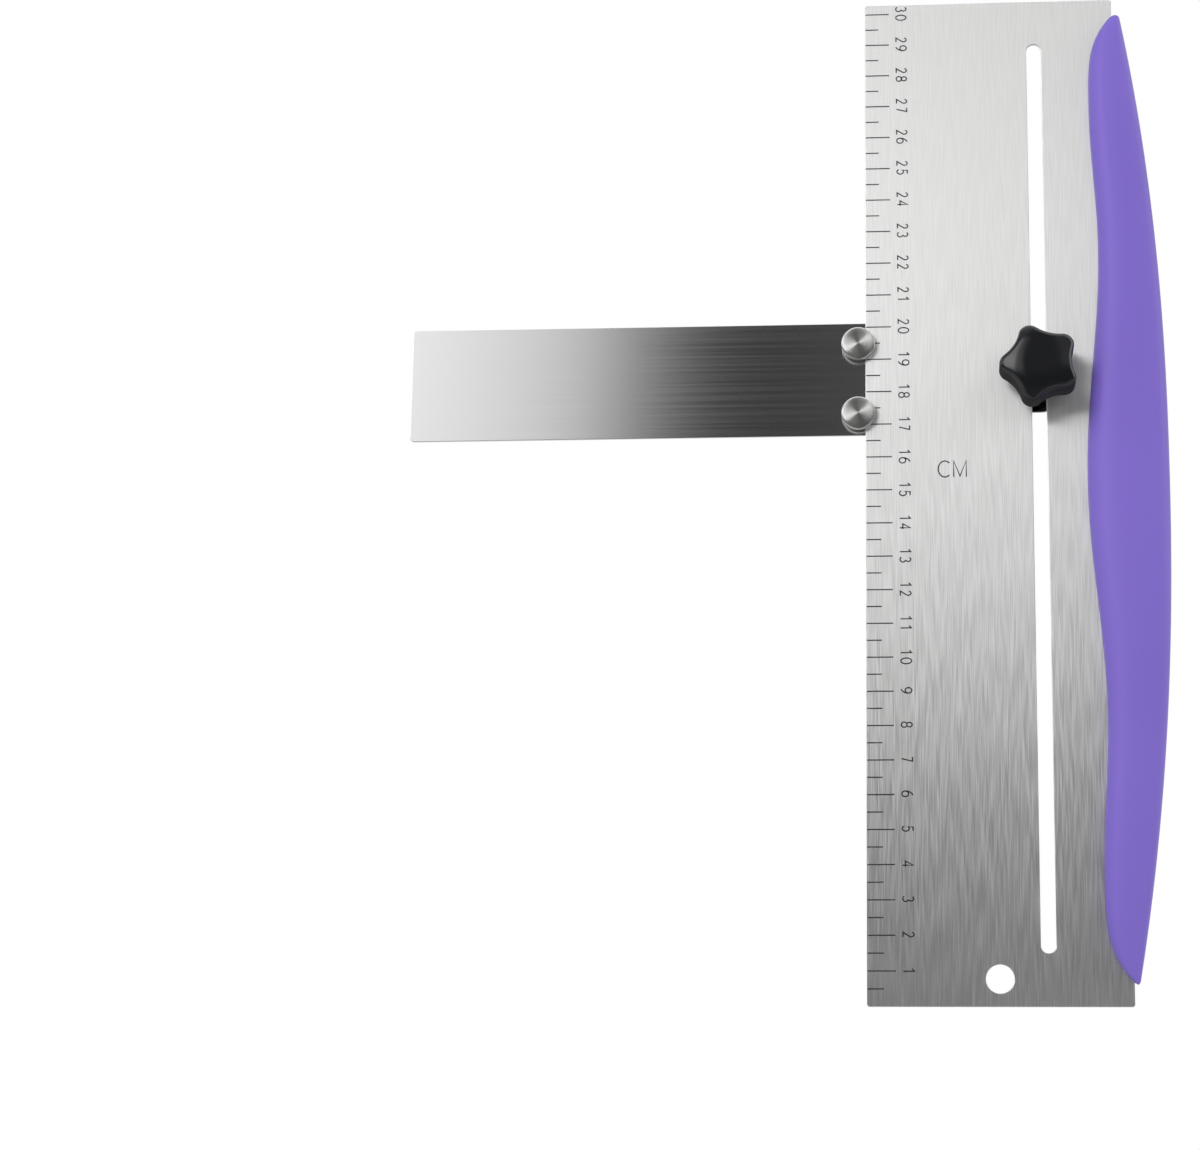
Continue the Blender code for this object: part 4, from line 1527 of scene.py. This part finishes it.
    def build(self, plastic: MouldedPlastic, plated: bpy.types.Material, brass: TurnedBrass) -> None:
        """Makes the knob, its bush, the washer and the bolt.

        Args:
            plastic: the knob's finish.
            plated: the material of the washer and the bolt.
            brass: the bush's finish.
        """
        dress(self.cored(self.star()), plastic.material(), Body.KNOB, "knob_plastic", "clamp_knob")
        bore = self.bolt / 2 + CLEARANCE
        outer, front, back = self.bush / 2, self.back + self.bush_length, self.back
        profile = [(bore, front), (outer, front), (outer, back), (bore, back)]
        bush = turned_piece("brass_bush", self.axis, profile, Ends.LOOP)
        dress(bush, brass.material(), Body.KNOB, "brass_bush", "knob_insert")
        outer, front, back = self.washer / 2, self.washer_front, self.plate.thickness / 2 + CLEARANCE
        edge = self.washer_edge
        profile = [(bore, front), (outer - edge, front), (outer, front - edge)]
        profile += [(outer, back + edge), (outer - edge, back), (bore, back)]
        washer = turned_piece("flat_washer", self.axis, profile, Ends.LOOP, self.washer_crease)
        dress(washer, plated, Body.WASHER, "plated_fastener", "knob_washer")
        dress(self.bolt_piece(), plated, Body.BLADE, "plated_fastener", "clamp_bolt")


@dataclass(frozen=True)
class Softbox:
    """A rectangular lamp that faces a point of the object.

    Its azimuth is counted in degrees from -Y to the right, and its elevation from the horizon up.
    """

    name: str
    azimuth: float
    elevation: float
    distance: float
    width: float
    height: float
    radiance: float


@dataclass(frozen=True)
class Fade:
    """A smooth change of brightness: before up to start, after from end on, with start and end in degrees."""

    start: float
    end: float
    before: float
    after: float


@dataclass(frozen=True)
class Room:
    """What metal and gloss see round the object. Behind it stands white paper, and in front of it a dim room.

    The room falls from bright on the left to dark behind the camera. A window stands at the left, and a pale
    wall at the far right. Above them is a pale ceiling, and below the horizon a floor that is bright at the
    sides only. The paper dims below the horizon, from left to right. A strip of light stands at the right,
    beside the object.

    The fades of walls, sides and the strip count from straight in front to the right, and the others from the
    horizon up. An edge that leans lies further right, in radians, by its lean times the sine of the height.
    """

    wall_lean: float = 0.07
    far_wall: Fade = Fade(-15.2, -8.0, 0.36, 0.0)
    near_wall: Fade = Fade(-10.5, -7.1, 0.62, 0.015)
    window_lean: float = 0.29
    window_left: Fade = Fade(-58, -40, 0.0, 1.0)
    window_right: Fade = Fade(-22.8, -20.8, 2.22, 0.0)
    window_sill: Fade = Fade(2, 9, 0.0, 1.0)
    top: Fade = Fade(32, 40, 1.0, 0.1)
    middle_side: Fade = Fade(-5.5, -1, 0.0, 0.06)
    middle_foot: Fade = Fade(9, 15, 0.0, 1.0)
    right_side: Fade = Fade(10, 22, 0.0, 0.3)
    right_foot: Fade = Fade(11, 16, 0.0, 1.0)
    foot: Fade = Fade(4.1, 14.1, 0.0, 1.0)
    head: Fade = Fade(20, 26, 1.0, 0.74)
    ceiling: Fade = Fade(40, 66, 0.0, 0.7)
    floor_edge: Fade = Fade(-12, -3, 0.5, 0.0)
    floor_left: Fade = Fade(-42, -18, 1.0, 0.15)
    floor_right: Fade = Fade(18, 40, 0.0, 0.85)
    paper_foot: tuple[float, float] = (-14, -2)
    paper_sides: tuple[float, float] = (0.75, 0.3)
    paper_reach: float = 0.7
    paper_blend: float = 0.25
    strip_start: Fade = Fade(66, 72, 0.0, 1.7)
    strip_end: Fade = Fade(92, 98, 1.0, 0.0)
    strip_foot: float = 0.15
    diffuse: float = 0.71


class Sky:
    """The world's nodes that turn a direction into a brightness."""

    def __init__(self, tree: bpy.types.NodeTree) -> None:
        """Reads the direction's parts and its turn to the right of straight in front.

        Args:
            tree: the world's node tree.
        """
        self.tree = tree
        parts = add_node(tree, "SeparateXYZ", {0: add_node(tree, "TexCoord").outputs["Generated"]}).outputs
        self.across, self.behind, self.up = parts["X"], parts["Y"], parts["Z"]
        self.turn = self.joined("ARCTAN2", self.across, self.product(self.behind, -1.0))

    def joined(self, operation: str, *values: bpy.types.NodeSocket | float) -> bpy.types.NodeSocket:
        """Joins values one after another.

        Args:
            operation: the Math node's operation.
            values: outputs or numbers, of which the first is an output.

        Returns:
            The last node's output.
        """
        result = values[0]
        for value in values[1:]:
            result = add_node(self.tree, "Math", {0: result, 1: value}, operation=operation).outputs[0]
        return result

    def total(self, *values: bpy.types.NodeSocket | float) -> bpy.types.NodeSocket:
        """The sum of values."""
        return self.joined("ADD", *values)

    def product(self, *values: bpy.types.NodeSocket | float) -> bpy.types.NodeSocket:
        """The product of values."""
        return self.joined("MULTIPLY", *values)

    def across_fade(self, fade: Fade, lean: float = 0.0) -> bpy.types.NodeSocket:
        """A change from left to right.

        Args:
            fade: the change.
            lean: how far it lies further right with the sine of the height.

        Returns:
            The brightness.
        """
        side = self.total(self.turn, self.product(self.up, -lean)) if lean else self.turn
        start, end = math.radians(fade.start), math.radians(fade.end)
        return remap(self.tree, side, start, end, fade.before, fade.after)

    def upward_fade(
        self, start: float, end: float, before: float | bpy.types.NodeSocket, after: float
    ) -> bpy.types.NodeSocket:
        """A change from the ground up. The direction's Z is the sine of its height.

        Args:
            start: the height at which it starts, in degrees.
            end: the height at which it ends.
            before: the brightness up to start.
            after: the brightness from end on.

        Returns:
            The brightness.
        """
        low, high = math.sin(math.radians(start)), math.sin(math.radians(end))
        return remap(self.tree, self.up, low, high, before, after)

    def rising(self, fade: Fade) -> bpy.types.NodeSocket:
        """A change from the ground up between two fixed levels."""
        return self.upward_fade(fade.start, fade.end, fade.before, fade.after)

    def blend(
        self,
        share: bpy.types.NodeSocket,
        first: bpy.types.NodeSocket | float,
        second: bpy.types.NodeSocket | float,
    ) -> bpy.types.NodeSocket:
        """A blend of two brightnesses.

        Args:
            share: 0 for the first alone, 1 for the second alone.
            first: the first brightness.
            second: the second one.

        Returns:
            The brightness.
        """
        node = add_node(self.tree, "Mix", {"Factor": share, "A": first, "B": second}, data_type="FLOAT")
        return node.outputs["Result"]


@dataclass
class Studio:
    """Camera, floor, surroundings and lamps, with the angles in degrees and the lens in millimetres."""

    target: Vector = field(default_factory=lambda: Vector((-0.06, 0, 0.15)))
    camera_place: Vector = field(default_factory=lambda: Vector((-0.00904, -0.74051, -0.03983)))
    azimuth: float = 4.142
    elevation: float = 12.502
    roll: float = 0.289
    lens: float = 78.0
    sensor: float = 36.0
    shift: float = -0.15
    nearest: float = 0.05
    floor_height: float = -0.10
    floor_radius: float = 1.1
    floor_colour: str = "F2F2F2"
    floor_roughness: float = 0.9
    floor_glow: float = 0.6
    floor_fade: tuple[float, float] = (0.45, 0.95)
    room: Room = Room()
    softboxes: tuple[Softbox, ...] = (
        Softbox("key_lamp", -30, 32, 0.8, 0.25, 0.25, 9.0),
        Softbox("fill_lamp", 42, 30, 1.8, 0.5, 0.5, 2.0),
    )

    def camera(self) -> None:
        """Looks up at the plate: turned about Z, raised above the horizon and rolled about its own axis."""
        data = bpy.data.cameras.new("camera")
        data.lens = self.lens
        data.sensor_width = self.sensor
        data.shift_x = self.shift
        data.clip_start = self.nearest
        camera = bpy.data.objects.new("camera", data)
        bpy.context.scene.collection.objects.link(camera)
        turn = Matrix.Rotation(math.radians(self.azimuth), 3, "Z")
        rise = Matrix.Rotation(math.radians(90 + self.elevation), 3, "X")
        lean = Matrix.Rotation(math.radians(self.roll), 3, "Z")
        camera.matrix_world = Matrix.Translation(self.camera_place) @ (turn @ rise @ lean).to_4x4()
        bpy.context.scene.camera = camera

    def floor(self) -> None:
        """A disc of pale paper well below the object, which keeps the shadow.

        The camera sees it glow a little, so that it comes near white, and it fades into the white background
        towards its edge. Reflections look through it at the room.
        """
        edge = self.floor_radius * unit(np.linspace(0, TURN, ROUND_STEPS, endpoint=False))
        mesh = bpy.data.meshes.new("floor")
        points = np.stack([edge.real, edge.imag, np.full(ROUND_STEPS, self.floor_height)], 1)
        mesh.from_pydata(points.tolist(), [], [list(range(ROUND_STEPS))])
        floor = link_object("floor", mesh)
        material, tree, shader = new_material("floor_paper")
        shader.inputs["Base Color"].default_value = linear(self.floor_colour)
        shader.inputs["Roughness"].default_value = self.floor_roughness
        path = add_node(tree, "LightPath").outputs
        white = add_node(tree, "Emission", {"Color": (1, 1, 1, 1), "Strength": 1.0})
        clear = add_node(tree, "BsdfTransparent")
        place = add_node(tree, "TexCoord").outputs["Object"]
        reach = add_node(tree, "VectorMath", {0: place}, operation="LENGTH").outputs["Value"]
        start, end = (share * self.floor_radius for share in self.floor_fade)
        fade = remap(tree, reach, start, end, 0.0, 1.0)
        glow = add_node(tree, "Math", {0: path["Is Camera Ray"], 1: self.floor_glow}, operation="MULTIPLY")
        paper = add_node(tree, "MixShader", {0: glow.outputs[0], 1: shader.outputs[0], 2: white.outputs[0]})
        unseen = add_node(tree, "Math", {0: fade, 1: path["Is Glossy Ray"]}, operation="MAXIMUM")
        whole = add_node(tree, "MixShader", {0: unseen.outputs[0], 1: paper.outputs[0], 2: clear.outputs[0]})
        tree.links.new(whole.outputs[0], tree.nodes["Material Output"].inputs["Surface"])
        floor.data.materials.append(material)

    def surroundings(self) -> None:
        """White all round to the camera, the room to metal and gloss, and an even light to matt surfaces."""
        world = bpy.data.worlds.new("studio")
        bpy.context.scene.world = world
        world.use_nodes = True
        tree = world.node_tree
        tree.nodes.clear()
        room, sky = self.room, Sky(tree)
        far, near = (sky.across_fade(wall, room.wall_lean) for wall in (room.far_wall, room.near_wall))
        sides = [sky.across_fade(side, room.window_lean) for side in (room.window_right, room.window_left)]
        window = sky.product(*sides, sky.rising(room.window_sill))
        walls = sky.product(sky.total(far, near, window), sky.rising(room.top))
        middle = sky.product(sky.across_fade(room.middle_side), sky.rising(room.middle_foot))
        right = sky.product(sky.across_fade(room.right_side), sky.rising(room.right_foot))
        height = sky.product(sky.rising(room.foot), sky.rising(room.head))
        walls = sky.product(sky.total(walls, sky.total(middle, right)), height)
        aside = sky.total(sky.across_fade(room.floor_left), sky.across_fade(room.floor_right))
        front = sky.total(walls, sky.rising(room.ceiling), sky.product(sky.rising(room.floor_edge), aside))
        low_paper = remap(tree, sky.across, -room.paper_reach, room.paper_reach, *room.paper_sides)
        paper = sky.upward_fade(*room.paper_foot, low_paper, 1.0)
        behind = remap(tree, sky.behind, -room.paper_blend, room.paper_blend, 0.0, 1.0)
        strip = sky.product(
            sky.across_fade(room.strip_start),
            sky.across_fade(room.strip_end),
            remap(tree, sky.up, 0.0, room.strip_foot, 0.0, 1.0),
        )
        path = add_node(tree, "LightPath").outputs
        mirrored = sky.total(sky.blend(behind, front, paper), strip)
        lit = sky.blend(path["Is Diffuse Ray"], mirrored, room.diffuse)
        shown = sky.blend(path["Is Camera Ray"], lit, 1.0)
        light = add_node(tree, "Background", {"Color": (1, 1, 1, 1), "Strength": shown})
        out = add_node(tree, "OutputWorld")
        tree.links.new(light.outputs[0], out.inputs["Surface"])

    def lamps(self) -> None:
        """Softboxes round the target. A lamp's power is its radiance times pi times its area."""
        for box in self.softboxes:
            data = bpy.data.lights.new(box.name, "AREA")
            data.shape = "RECTANGLE"
            data.size, data.size_y = box.width, box.height
            data.energy = box.radiance * math.pi * box.width * box.height
            lamp = bpy.data.objects.new(box.name, data)
            bpy.context.scene.collection.objects.link(lamp)
            a, e = math.radians(box.azimuth), math.radians(box.elevation)
            away = Vector((math.sin(a) * math.cos(e), -math.cos(a) * math.cos(e), math.sin(e)))
            lamp.location = self.target + away * box.distance
            lamp.rotation_euler = away.to_track_quat("Z", "Y").to_euler()
            lamp.visible_camera = False
            lamp.visible_glossy = False

    def build(self) -> None:
        """Sets up the whole studio."""
        self.camera()
        self.floor()
        self.surroundings()
        self.lamps()
        bpy.context.scene.view_settings.view_transform = "Standard"


def corners(box: tuple[Vector, Vector]) -> list[list[float]]:
    """A box as plain lists of numbers."""
    return [list(box[0]), list(box[1])]


def main() -> None:
    logging.basicConfig(level=logging.INFO, format="%(name)s: %(message)s")
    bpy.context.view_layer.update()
    Studio().build()
    plated = PlatedSteel().material()
    plate = RulerPlate()
    plate.build(BrushedStainless())
    EtchedScale(plate).build(EtchedMark())
    CrescentHandle(plate).build(polypropylene())
    blade = LevellingBlade(plate)
    blade.build(PolishedStainless())
    GuideStuds(plate, blade).build(TurnedStainless(), plated)
    StarKnob(plate, blade).build(phenolic(), plated, TurnedBrass())
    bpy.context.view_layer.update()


if __name__ == "__main__":
    main()
